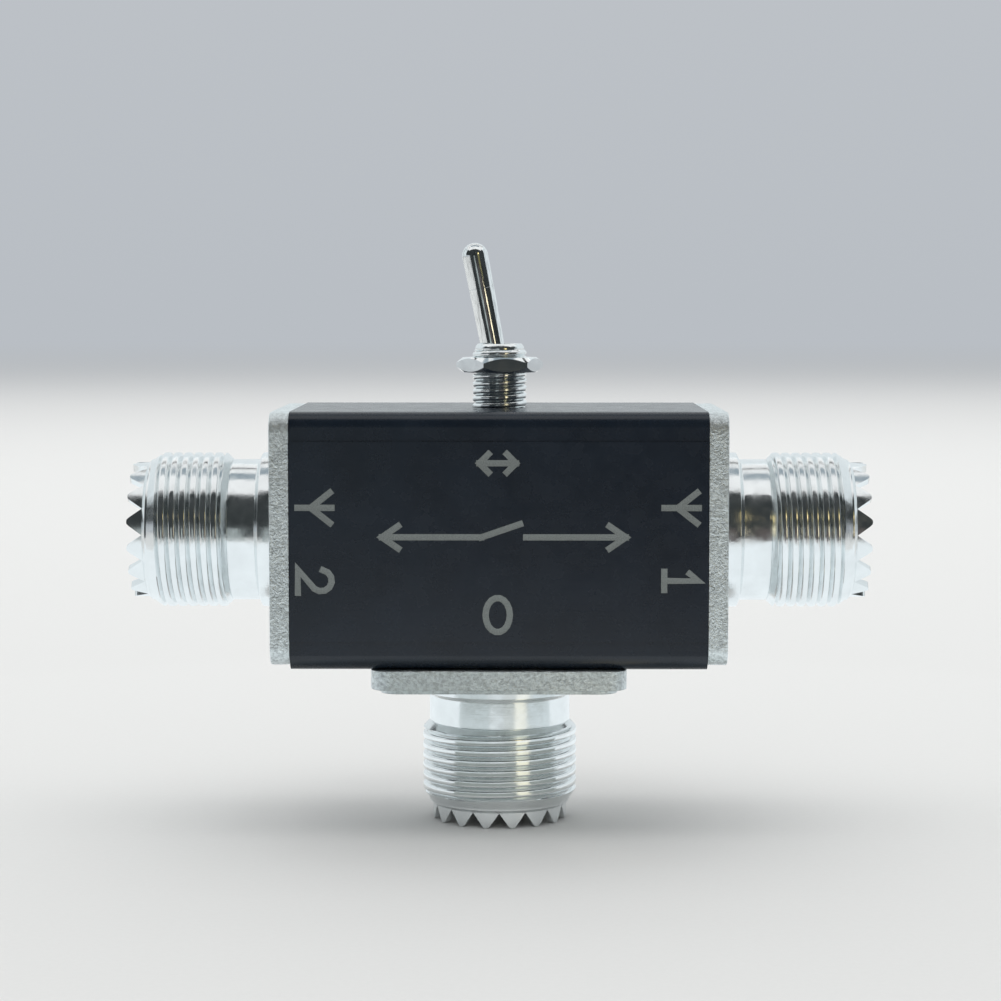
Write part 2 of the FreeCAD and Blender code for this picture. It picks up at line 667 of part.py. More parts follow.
def make_lever():
    """Round-ended bat, ball and hollow tail, turned in one piece."""
    tip_centre = "(lever_reach - lever_tip_radius)"
    bore = "(plunger_radius + contact_gap)"
    hang(turned("switch_lever", [
        ("0", "-tail_reach"), ("tail_radius", "-tail_reach"),
        ("tail_radius", "-sqrt(ball_radius ^ 2 - tail_radius ^ 2)", "0"),
        ("lever_base_radius", "sqrt(ball_radius ^ 2 - lever_base_radius ^ 2)"),
        ("lever_tip_radius", tip_centre, tip_centre), ("0", "lever_reach")], [
        ("0", "-2 * tail_reach"), (bore, "-2 * tail_reach"), (bore, "-spring_start"),
        ("0", "-spring_start")]))


def make_plunger():
    """Rod with a round nose that presses on the rocker."""
    nose_centre = f"(plunger_radius - {PLUNGER_REACH})"
    hang(turned("lever_plunger", [
        ("0", f"-{PLUNGER_REACH}", nose_centre), ("plunger_radius", nose_centre),
        ("plunger_radius", "-plunger_top"), ("0", "-plunger_top")]))


def make_spring():
    """Closely wound coil between the end of the lever's bore and the plunger, as one sleeve."""
    inner, outer = "(spring_radius - spring_wire_radius)", "(spring_radius + spring_wire_radius)"
    top, bottom = "(-spring_start - contact_gap)", "(contact_gap - plunger_top)"
    hang(turned("lever_spring", [(inner, bottom), (outer, bottom), (outer, top), (inner, top)]))


def make_rocker():
    """Shallow V of brass strip that tips on the fulcrum; the pressed wing lies level on its contact."""
    body = new_body("rocker_contact")
    half, rise = "rocker_length / 2", "tan(rocker_tilt)"
    under = f"({half} * {rise} - rocker_sink)"
    beside = f"(notch_width / 2 * {rise} - rocker_sink)"
    side = outline(body, "rocker_side", "XZ_Plane", [
        (f"-{half}", under), ("-notch_width / 2", beside), ("0", "contact_gap"), ("notch_width / 2", beside),
        (half, under), (half, f"{under} + rocker_thickness"), ("0", "rocker_thickness - rocker_sink"),
        (f"-{half}", f"{under} + rocker_thickness")])
    extrude(body, "Pad", side, "rocker_width", SideType="Symmetric")
    place(body, z=FULCRUM, turn=value("rocker_tilt"))


def check_and_write():
    """Stop on any failed object, then write each sub-part to its own file."""
    doc.recompute()
    for item in doc.Objects:
        if {"Invalid", "Error"} & set(item.State):
            raise RuntimeError(f"{item.Label} failed: {item.State}")
    os.makedirs("parts", exist_ok=True)
    for node in nodes:
        shape = node.Shape
        if shape.isNull() or not shape.isValid() or not shape.Solids:
            raise RuntimeError(f"{node.Label} has no valid solid")
        shape.exportStep(f"parts/{node.Label}.step")
        print(f"{node.Label}: {len(shape.Solids)} solid(s), {shape.Volume:.2f} mm3")


for make in (make_case, make_jacks, make_bushing, make_nut, make_washer, make_switch_frame, make_switch_body,
             make_terminals, make_wires, make_lever, make_plunger, make_spring, make_rocker):
    make()
check_and_write()
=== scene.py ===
"""Coaxial antenna switch: detailed pieces and finishes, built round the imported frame.

Lengths are in metres in the frame's axes: +Z up, -Y the front, the bottom jack's mouth on the floor.
A jack or a toggle piece is modelled upright about Z and then laid at the place that the frame gives.
"""

import json
import math
from types import SimpleNamespace

import bmesh
import bpy
from bpy.props import FloatProperty, FloatVectorProperty, IntProperty, PointerProperty
from mathutils import Matrix, Vector, noise


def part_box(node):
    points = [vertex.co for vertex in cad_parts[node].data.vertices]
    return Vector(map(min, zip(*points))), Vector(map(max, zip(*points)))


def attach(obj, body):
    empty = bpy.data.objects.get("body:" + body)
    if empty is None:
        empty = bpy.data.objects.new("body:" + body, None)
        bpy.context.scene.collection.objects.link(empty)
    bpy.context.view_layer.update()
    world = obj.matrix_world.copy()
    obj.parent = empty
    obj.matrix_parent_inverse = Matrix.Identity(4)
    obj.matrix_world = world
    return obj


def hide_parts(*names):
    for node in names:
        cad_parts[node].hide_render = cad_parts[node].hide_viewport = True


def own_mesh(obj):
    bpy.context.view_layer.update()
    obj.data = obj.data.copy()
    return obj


bl_info = {
    "name": "Coaxial Antenna Switch",
    "version": (1, 0, 0),
    "blender": (4, 5, 0),
    "location": "View3D > Sidebar > Antenna Switch",
    "description": "Builds the detailed pieces, finishes and studio of a coaxial antenna switch",
    "category": "Add Mesh",
}

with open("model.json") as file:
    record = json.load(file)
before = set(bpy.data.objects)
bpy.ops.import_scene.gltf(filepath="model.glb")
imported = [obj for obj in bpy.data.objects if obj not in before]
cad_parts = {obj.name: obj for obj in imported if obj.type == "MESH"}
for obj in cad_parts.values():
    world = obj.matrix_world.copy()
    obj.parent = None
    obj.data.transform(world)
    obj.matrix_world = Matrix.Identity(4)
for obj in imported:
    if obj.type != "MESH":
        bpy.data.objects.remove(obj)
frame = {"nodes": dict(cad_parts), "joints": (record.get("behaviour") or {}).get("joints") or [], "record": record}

MM = 0.001
WELD = 0.002 * MM  # points nearer than this become one
SLIP = 0.05 * MM  # running clearance between two turned pieces
FLANGE_THICKNESS = 2.0 * MM
SEAT_SLIP = 0.15 * MM  # from a screw's head to the rim of its seat
SLEEVE_HALF_WALL = 0.12 * MM  # of the sleeve that stands for the spring in the frame
STEPS = 192  # round a jack; a multiple of its 16 teeth
PORTS = ("ant1", "ant2", "tx")

# colours and sizes that a user may change


def linear(hex_colour):
    """An sRGB hex value such as #ff8000 as linear red, green, blue and alpha."""
    channels = [int(hex_colour[i:i + 2], 16) / 255 for i in (1, 3, 5)]
    return [c / 12.92 if c <= 0.04045 else ((c + 0.055) / 1.055) ** 2.4 for c in channels] + [1.0]


def length(name, millimetres, description):
    return FloatProperty(name=name, description=description, default=millimetres * MM, unit="LENGTH",
                         subtype="DISTANCE", precision=6)


def colour(name, hex_colour, description):
    return FloatVectorProperty(name=name, description=description, default=linear(hex_colour), size=4,
                               subtype="COLOR", min=0.0, max=1.0)


class JackSizes(bpy.types.PropertyGroup):
    """Sizes of a jack that the frame leaves plain"""

    thread_pitch: length("Thread pitch", 25.4 / 24, "Rise of the jack's thread in one turn")
    thread_depth: length("Thread depth", 0.42, "From the thread's crest to the bottom of its groove")
    thread_crest: FloatProperty(name="Crest share", default=0.45, min=0.1, max=0.9, subtype="FACTOR",
                                description="Share of the pitch that the broad, round crest takes")
    neck_radius: length("Neck radius", 7.25, "Plain neck between the collar and the thread")
    neck_foot: length("Neck foot", 2.0, "Height of the neck's foot above the flange's face")
    collar_radius: length("Collar radius", 7.95, "Round collar that rises from the flange")
    collar_reach: length("Collar reach", 1.68, "Height of the collar's shoulder above the flange's face")
    undercut: length("Undercut", 0.12, "Depth of the thin groove between the neck and the thread")
    crown_radius: length("Crown radius", 7.25, "Plain ring between the thread and the teeth")
    tooth_bevel: length("Tooth bevel", 0.32, "Bevel that leads from that ring in to the teeth")
    crown_foot: length("Crown foot", 12.9, "Height of the crown's foot above the flange's face")
    tooth_count: IntProperty(name="Teeth", default=16, min=4, max=48, description="Teeth in the crown")
    tooth_height: length("Tooth height", 1.6, "From the bottom of a gap to the tips")
    tooth_gap: length("Tooth gap", 2.3, "Width of a gap at the tips")
    seat_radius: length("Seat radius", 5.9, "Bore that holds the insulator")
    seat_height: length("Seat height", 1.5, "Ledge on which the insulator seats")
    tail_radius: length("Tail bore radius", 4.9, "Bore through the rear of the shell")
    rim_radius: length("Rear rim radius", 6.0, "Rim that centres the shell in the case")
    flange_corner: length("Flange corner radius", 1.9, "Round corners of the square flange")
    step_rise: length("Step rise", 0.45, "Height of the step on the bottom jack's flange")
    step_inset: length("Step inset", 0.9, "Width of the ledge round that step")
    screw_head_radius: length("Screw head radius", 2.75, "Countersunk head of a flange screw")
    screw_hole_radius: length("Screw hole radius", 1.65, "Hole for the screw's shank")
    recess_reach: length("Recess reach", 1.75, "From the middle of a screw's cross recess to its ends")
    recess_width: length("Recess half width", 0.45, "Half the width of the recess's arms")
    recess_depth: length("Recess depth", 1.1, "Depth of the recess")


class ToggleSizes(bpy.types.PropertyGroup):
    """Sizes of the toggle switch that the frame leaves plain"""

    thread_pitch: length("Thread pitch", 0.75, "Rise of the bushing's thread in one turn")
    thread_depth: length("Thread depth", 0.3, "From the crest to the bottom of the groove")
    dome_height: length("Dome height", 0.6, "Height of the bushing's rounded end")
    dome_radius: length("Dome radius", 2.25, "Radius where the rounded end meets the mouth's rim")
    mouth_radius: length("Mouth radius", 2.09, "Mouth of the bushing, where the lever leaves it")
    nut_width: length("Nut width", 7.8, "Across the nut's flats")
    nut_bevel: length("Nut bevel", 0.55, "Height of the bevel at the nut's corners")
    nut_lead: length("Nut lead", 0.3, "Bevel at either end of the nut's bore")
    nut_turn: FloatProperty(name="Nut turn", default=math.radians(39), subtype="ANGLE", unit="ROTATION",
                            description="Turn of the nut's first flat from the front")
    ball_radius: length("Ball radius", 1.9, "Ball on which the lever turns")
    lever_base: length("Lever base radius", 1.18, "Radius of the lever where it leaves its ball")
    lever_tip: length("Lever tip radius", 1.33, "Radius of the lever's round end")
    ring_drop: length("Ring drop", 4.7, "From the lever's tip down to a fine ring left by the tool")
    ring_width: length("Ring width", 0.1, "Width of that ring's groove")
    ring_depth: length("Ring depth", 0.04, "Depth of that ring's groove")
    tail_radius: length("Tail radius", 1.25, "Hollow tail below the ball")
    tail_bore: length("Tail bore radius", 0.83, "Bore of the tail, in which spring and plunger lie")
    bore_end: length("Bore end", 0.55, "Depth below the pivot at which that bore ends")
    spring_radius: length("Spring radius", 0.65, "Middle of the spring's wire")
    spring_wire: length("Spring wire radius", 0.1, "Wire of the spring")
    spring_turns: IntProperty(name="Spring turns", default=12, min=3, max=40,
                              description="Turns of the spring")


class MarkSizes(bpy.types.PropertyGroup):
    """Sizes of the marks engraved on the front"""

    stroke: length("Stroke", 0.62, "Width of an engraved line")
    rim: length("Rim", 0.13, "Bright burr along each side of a line")
    rise: length("Rise", 0.02, "Height of the burr above the case")
    hollow: length("Hollow", 0.012, "Depth of the line's middle below its burr")


class FinishColours(bpy.types.PropertyGroup):
    """Base colours of the finishes"""

    anodised: colour("Black anodising", "#141e29", "Dyed oxide on the case")
    nickel: colour("Turned nickel plate", "#f0f4f5", "Threads, crowns, bushing, nut and lever")
    cast: colour("Cast nickel plate", "#e6edee", "Flanges as they left the die")
    engraving: colour("Engraving", "#8f9492", "Bared metal in the engraved lines")


class StudioSettings(bpy.types.PropertyGroup):
    """Floor, light and camera"""

    paper: colour("Floor", "#e2e1de", "Seamless paper under the switch")
    horizon: colour("Horizon", "#b9bec4", "Room at the floor's far edge")
    zenith: colour("Zenith", "#d4d6d8", "Room overhead")
    softbox: FloatProperty(name="Softboxes", default=3.0, min=0.0,
                           description="Power of the overhead softboxes in watts per square metre")


# the frame's places


def read_jack(name):
    """Heights and radii of a jack above its flange's face, and the matrix that lays it on the case."""
    mounts = {mount["name"]: mount for mount in frame["record"]["mounts"]}
    thread, mouth = mounts[f"{name}_thread"], mounts[f"{name}_mouth"]
    axis = Vector(thread["axis"])
    along = max(range(3), key=lambda i: abs(axis[i]))
    across = next(i for i in (1, 0) if i != along)
    outward = round(axis[along])

    def reach(node, end):
        """How far along the axis a node's nearer or farther end lies, from the frame's origin."""
        return max(end * outward * corner[along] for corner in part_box(node)) * end

    face = reach(f"{name}_flange_screws", 1)
    foot = Vector(thread["pos_m"])
    foot[along] = face * outward
    lowest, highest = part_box(f"{name}_jack_shell")
    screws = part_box(f"{name}_flange_screws")[1]
    middle_thread = abs(thread["pos_m"][along] - foot[along])
    middle_mouth = abs(mouth["pos_m"][along] - foot[along])
    half_thread = thread["dims"]["length_mm"] * MM / 2
    half_mouth = mouth["dims"]["length_mm"] * MM / 2
    return SimpleNamespace(
        place=Matrix.Translation(foot) @ Matrix.Rotation(math.atan2(axis.x, axis.z), 4, "Y"),
        crest=thread["dims"]["r_mm"] * MM,
        crest_start=middle_thread - half_thread,
        crest_end=middle_thread + half_thread,
        mouth=mouth["dims"]["r_mm"] * MM,
        floor=middle_mouth - half_mouth,
        tips=middle_mouth + half_mouth,
        rear=reach(f"{name}_jack_shell", -1) - face,
        screw_foot=reach(f"{name}_flange_screws", -1) - face,
        side=highest[across] - lowest[across],
        screw_edge=screws[across],
    )


# meshes


def finish_piece(name, bm, body, materials, place=Matrix.Identity(4), smooth=35, stands_for=()):
    """Weld, turn the faces outwards and make the mesh a piece that rides on a body."""
    bmesh.ops.remove_doubles(bm, verts=bm.verts, dist=WELD)
    bmesh.ops.recalc_face_normals(bm, faces=bm.faces)
    bmesh.ops.transform(bm, matrix=place, verts=bm.verts)
    mesh = bpy.data.meshes.new(name)
    bm.to_mesh(mesh)
    bm.free()
    mesh.shade_smooth()
    mesh.set_sharp_from_angle(angle=math.radians(smooth))
    for material in materials:
        mesh.materials.append(material)
    piece = bpy.data.objects.new(name, mesh)
    bpy.context.scene.collection.objects.link(piece)
    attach(piece, body)
    if stands_for:
        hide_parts(*stands_for)
    return piece


def edges_of(verts):
    """The edges that meet at the points, each once and always in the same order."""
    return list(dict.fromkeys(edge for vert in verts for edge in vert.link_edges))


def verts_of(edges):
    return list(dict.fromkeys(vert for edge in edges for vert in edge.verts))


def extrude_edges(bm, edges):
    """Extrude a closed line of edges and return the new line, which still lies on the old one."""
    made = bmesh.ops.extrude_edge_only(bm, edges=edges)["geom"]
    old = set(edges)
    new = dict.fromkeys(part for part in made if isinstance(part, bmesh.types.BMEdge))
    return [edge for edge in new if edge.is_boundary and edge not in old]


def draw_ring(bm, ring, radius, height, centre=(0.0, 0.0)):
    """Extrude a ring of edges to a radius and a height; the height may follow the angle."""
    ring = extrude_edges(bm, ring)
    for vert in verts_of(ring):
        angle = math.atan2(vert.co.y - centre[1], vert.co.x - centre[0])
        level = height(angle) if callable(height) else height
        vert.co = (centre[0] + radius * math.cos(angle), centre[1] + radius * math.sin(angle), level)
    return ring


def draw_rings(bm, ring, profile, centre=(0.0, 0.0)):
    """Draw a ring through pairs of radius and height and return every ring made."""
    rings = []
    for radius, height in profile:
        ring = draw_ring(bm, ring, radius, height, centre)
        rings.append(ring)
    return rings


def circle(bm, radius, height, centre=(0.0, 0.0), segments=STEPS):
    made = bmesh.ops.create_circle(bm, segments=segments, radius=radius,
                                   matrix=Matrix.Translation((*centre, height)))
    return edges_of(made["verts"])


def ease(bm, edges, width, segments=2):
    """Round edges that are meant to be soft."""
    bmesh.ops.bevel(bm, geom=edges, offset=width, offset_type="OFFSET", affect="EDGES", segments=segments,
                    profile=0.5, material=-1, clamp_overlap=True)


def lathe(bm, profile, segments):
    """Turn an open profile of radius and height pairs a full turn about Z."""
    points = [bm.verts.new((radius, 0, height)) for radius, height in profile]
    for pair in zip(points, points[1:]):
        bm.edges.new(pair)
    bmesh.ops.spin(bm, geom=bm.verts[:] + bm.edges[:], cent=(0, 0, 0), axis=(0, 0, 1), angle=math.tau,
                   steps=segments, use_merge=True)
    bmesh.ops.remove_doubles(bm, verts=bm.verts, dist=WELD)


def cut_thread(bm, crest, depth, share, pitch, low_end, high_end, points=16, roundness=0.25):
    """Wind a right-handed thread round Z between two ends and return its lower and upper ring.

    An end is its height, the radius of its rim and the slope of the bevel that leads from there to the
    crest. The profile of one pitch is spun up its own helix, with a groove that meets the upper end at
    the front, and what lies past an end is pressed flat. The groove leaves its crest softly and comes
    to a sharp bottom.
    """
    start, end = low_end[0], high_end[0]
    turns = math.ceil((end - start) / pitch + 0.25) + 1
    foot = end - pitch * (turns - 0.25)
    profile = []
    for i in range(points + 1):
        from_crest = abs(2 * i / points - 1)
        into = max(from_crest - share, 0.0) / (1 - share)
        groove = into ** 2 * (2 - into)
        radius = crest - depth * (roundness * from_crest ** 2 + (1 - roundness) * groove)
        profile.append(bm.verts.new((radius, 0, foot + pitch * i / points)))
    edges = [bm.edges.new(pair) for pair in zip(profile, profile[1:])]
    bmesh.ops.spin(bm, geom=profile + edges, cent=(0, 0, 0), axis=(0, 0, 1), dvec=(0, 0, pitch / STEPS),
                   angle=math.tau, steps=STEPS, use_merge=False)
    one_turn = bm.verts[:] + bm.edges[:] + bm.faces[:]
    for turn in range(1, turns):
        copied = bmesh.ops.duplicate(bm, geom=one_turn)["geom"]
        raised = [part for part in copied if isinstance(part, bmesh.types.BMVert)]
        bmesh.ops.translate(bm, vec=(0, 0, pitch * turn), verts=raised)
    for vert in bm.verts:
        slice_ = round(math.atan2(vert.co.y, vert.co.x) / math.tau * STEPS)
        angle = slice_ / STEPS * math.tau
        height = min(max(vert.co.z, start), end)
        bevels = [rim + slope * abs(height - level) for level, rim, slope in (low_end, high_end)]
        radius = min(math.hypot(vert.co.x, vert.co.y), *bevels)
        vert.co = (radius * math.cos(angle), radius * math.sin(angle), height)
    bmesh.ops.remove_doubles(bm, verts=bm.verts, dist=WELD)
    rims = [edge for edge in bm.edges if edge.is_boundary]
    middle = (start + end) / 2
    lower = [edge for edge in rims if edge.verts[0].co.z < middle]
    upper = [edge for edge in rims if edge.verts[0].co.z > middle]
    return lower, upper


def rounded_square(bm, side, corner, height, spacing):
    """The outline of a square with round corners, its long edges cut every spacing or so."""
    made = bmesh.ops.create_grid(bm, x_segments=1, y_segments=1, size=side / 2,
                                 matrix=Matrix.Translation((0, 0, height)))
    corners = bmesh.ops.bevel(bm, geom=made["verts"], offset=corner, offset_type="OFFSET",
                              affect="VERTICES", segments=8, profile=0.5, material=-1)
    face = corners["verts"][0].link_faces[0]
    long_edges = [edge for edge in face.edges if edge.calc_length() > 2 * corner]
    cuts = round(long_edges[0].calc_length() / spacing) - 1
    bmesh.ops.subdivide_edges(bm, edges=long_edges, cuts=cuts)
    outline = list(face.edges)
    bmesh.ops.delete(bm, geom=[face], context="FACES_ONLY")
    return outline


def lift_outline(bm, outline, height, inset):
    """Extrude an outline about Z to a height, drawn in or out by inset from where it is."""
    outline = extrude_edges(bm, outline)
    reach = max(abs(vert.co.x) for vert in verts_of(outline))
    scale = (reach - inset) / reach
    for vert in verts_of(outline):
        vert.co = (vert.co.x * scale, vert.co.y * scale, height)
    return outline


def fill_flat(bm, loops):
    """Fill a flat face between closed lines of edges."""
    edges = [edge for loop in loops for edge in loop]
    bmesh.ops.triangle_fill(bm, use_beauty=True, use_dissolve=False, edges=edges)


# materials


def add_node(tree, kind, values=None, links=None, **settings):
    """Add a node with its settings, its sockets' values and the sockets that feed it."""
    made = tree.nodes.new(kind)
    for name, setting in settings.items():
        setattr(made, name, setting)
    for name, number in (values or {}).items():
        made.inputs[name].default_value = number
    for name, source in (links or {}).items():
        tree.links.new(source, made.inputs[name])
    return made


def new_material(name, base, metallic, roughness, **sockets):
    """A material with a Principled shader; returns it with its tree, shader and object coordinates."""
    material = bpy.data.materials.new(name)
    material.use_nodes = True
    tree = material.node_tree
    shader = tree.nodes["Principled BSDF"]
    values = {"Base Color": base, "Metallic": metallic, "Roughness": roughness, **sockets}
    for socket, number in values.items():
        shader.inputs[socket].default_value = number
    place = add_node(tree, "ShaderNodeTexCoord").outputs["Object"]
    return material, tree, shader, place


def feed(tree, shader, tint, roughness=None, normal=None):
    """Lead a tint, and a roughness and a normal where there is one, into the shader."""
    for name, source in (("Base Color", tint), ("Roughness", roughness), ("Normal", normal)):
        if source:
            tree.links.new(source, shader.inputs[name])


def grain(tree, place, size, along=None, ratio=1.0, detail=3.0, rough=0.5):
    """Noise whose grain is size metres, drawn out along an axis by a ratio, as a value from 0 to 1."""
    scale = [1 / size] * 3
    if along is not None:
        scale[along] /= ratio
    where = add_node(tree, "ShaderNodeMapping", {"Scale": scale}, {"Vector": place}).outputs["Vector"]
    made = add_node(tree, "ShaderNodeTexNoise", {"Scale": 1.0, "Detail": detail, "Roughness": rough},
                    {"Vector": where}, noise_dimensions="3D")
    return made.outputs["Fac"]


def spread(tree, value, low, high, start=0.3, end=0.7):
    """The value stretched from start..end to low..high."""
    ends = {"From Min": start, "From Max": end, "To Min": low, "To Max": high}
    return add_node(tree, "ShaderNodeMapRange", ends, {"Value": value}).outputs["Result"]


def tinted(tree, pattern, base, dark, light=1.0, start=0.3, end=0.7):
    """The base colour, made darker and lighter by two factors as a pattern goes from start to end."""
    made = add_node(tree, "ShaderNodeMix", data_type="RGBA")  # inputs 6 and 7 and output 2 are its colours
    made.inputs[6].default_value = shade(base, dark)
    made.inputs[7].default_value = shade(base, light)
    tree.links.new(spread(tree, pattern, 0, 1, start, end), made.inputs["Factor"])
    return made.outputs[2]


def shade(base, factor):
    """A linear colour made darker or lighter."""
    return [min(channel * factor, 1.0) for channel in base[:3]] + [1.0]


def bump(tree, height, distance, normal=None):
    """A normal that follows a height pattern of a depth in metres, on top of another normal if given."""
    links = {"Height": height}
    if normal:
        links["Normal"] = normal
    sizes = {"Distance": distance, "Strength": 1.0}
    return add_node(tree, "ShaderNodeBump", sizes, links).outputs["Normal"]


def anodised_aluminium(base):
    """Black anodised aluminium, extruded and bead blasted: a deep blue-black that goes pale grey where it
    turns to the light, with faint lines along the extrusion under a fine even grain."""
    material, tree, shader, place = new_material("black_anodised_aluminium", base, 0.0, 0.27, IOR=1.5)
    patches = grain(tree, place, 6 * MM, detail=4.0)
    cloud = grain(tree, place, 1.5 * MM, detail=5.0)
    die_lines = grain(tree, place, 0.5 * MM, along=0, ratio=150)
    blasting = grain(tree, place, 0.16 * MM, detail=2.0)  # about twice the real grain, so that it shows
    extruded = bump(tree, die_lines, 0.004 * MM)
    feed(tree, shader, tinted(tree, patches, base, 0.85, 1.2), spread(tree, cloud, 0.23, 0.3),
         bump(tree, blasting, 0.006 * MM, normal=extruded))
    return material


def turned_nickel(name, base, along):
    """Nickel plate on a turned thread: bright, with hair-fine rings left by the tool and a slight
    unevenness of the plate that breaks up its reflections."""
    material, tree, shader, place = new_material(name, base, 1.0, 0.15)
    haze = grain(tree, place, 0.9 * MM, detail=4.0)
    stain = grain(tree, place, 2.5 * MM, detail=3.0)
    rings = grain(tree, place, 10 * MM, along=along, ratio=0.012, detail=2.0)  # 0.12 mm apart
    plate = grain(tree, place, 0.5 * MM, detail=2.0)
    turned = bump(tree, rings, 0.003 * MM)
    feed(tree, shader, tinted(tree, stain, base, 0.92), spread(tree, haze, 0.1, 0.24),
         bump(tree, plate, 0.006 * MM, normal=turned))
    return material


def cast_nickel(base):
    """Nickel plate on a rough zinc casting: bright and dark grains that sparkle as it turns."""
    material, tree, shader, place = new_material("nickel_plated_zinc_casting", base, 1.0, 0.35)
    grains = grain(tree, place, 0.4 * MM, detail=4.0, rough=0.7)
    worn = grain(tree, place, 3 * MM, detail=2.0)
    skin = grain(tree, place, 0.3 * MM, detail=4.0, rough=0.7)
    feed(tree, shader, tinted(tree, grains, base, 0.72, start=0.4, end=0.56),
         spread(tree, worn, 0.42, 0.28), bump(tree, skin, 0.12 * MM))
    return material


def polished_nickel(base):
    """Bright nickel plate on a smooth turned part: nearly a mirror, with the softest haze."""
    material, tree, shader, place = new_material("bright_nickel_nut", base, 1.0, 0.06)
    haze = grain(tree, place, 1.2 * MM, detail=4.0)
    ripple = grain(tree, place, 0.8 * MM, detail=1.0)
    tree.links.new(spread(tree, haze, 0.06, 0.12), shader.inputs["Roughness"])
    tree.links.new(bump(tree, ripple, 0.002 * MM), shader.inputs["Normal"])
    return material


def drawn_nickel(base, lean):
    """Bright nickel plate over a drawn rod: a mirror, broken by fine dark streaks along the rod."""
    material, tree, shader, place = new_material("mirror_nickel_on_drawn_rod", base, 1.0, 0.07)
    upright = add_node(tree, "ShaderNodeMapping", {"Rotation": (0, lean, 0)}, {"Vector": place})
    streaks = grain(tree, upright.outputs["Vector"], 0.14 * MM, along=2, ratio=12)
    feed(tree, shader, tinted(tree, streaks, base, 0.6, start=0.36, end=0.5),
         spread(tree, streaks, 0.05, 0.12), bump(tree, streaks, 0.004 * MM))
    return material


def plain_metal(name, hex_colour, roughness, size, depth):
    """A small metal part with a drawn or pressed skin: even colour, broken by a fine grain."""
    base = linear(hex_colour)
    material, tree, shader, place = new_material(name, base, 1.0, roughness)
    skin = grain(tree, place, size, detail=4.0)
    feed(tree, shader, tinted(tree, skin, base, 0.8, 1.1),
         spread(tree, skin, roughness * 0.8, roughness * 1.3), bump(tree, skin, depth))
    return material


def moulded_plastic(name, hex_colour, roughness, size, depth, **sockets):
    """A moulded insulating part: soft sheen over a faint mottle."""
    base = linear(hex_colour)
    material, tree, shader, place = new_material(name, base, 0.0, roughness, **sockets)
    mottle = grain(tree, place, size, detail=4.0)
    feed(tree, shader, tinted(tree, mottle, base, 0.9, 1.06), normal=bump(tree, mottle, depth))
    return material


def engraved_line(base):
    """Aluminium bared by the engraver's cutter: dull silver, scratched across the line."""
    material, tree, shader, place = new_material("engraved_bare_aluminium", base, 0.6, 0.5)
    scratches = grain(tree, place, 0.12 * MM)
    feed(tree, shader, tinted(tree, scratches, base, 0.75, 1.2), normal=bump(tree, scratches, 0.01 * MM))
    return material


# operators


class SwitchOperator:
    """What every operator of the switch shares"""

    bl_options = {"REGISTER", "UNDO"}


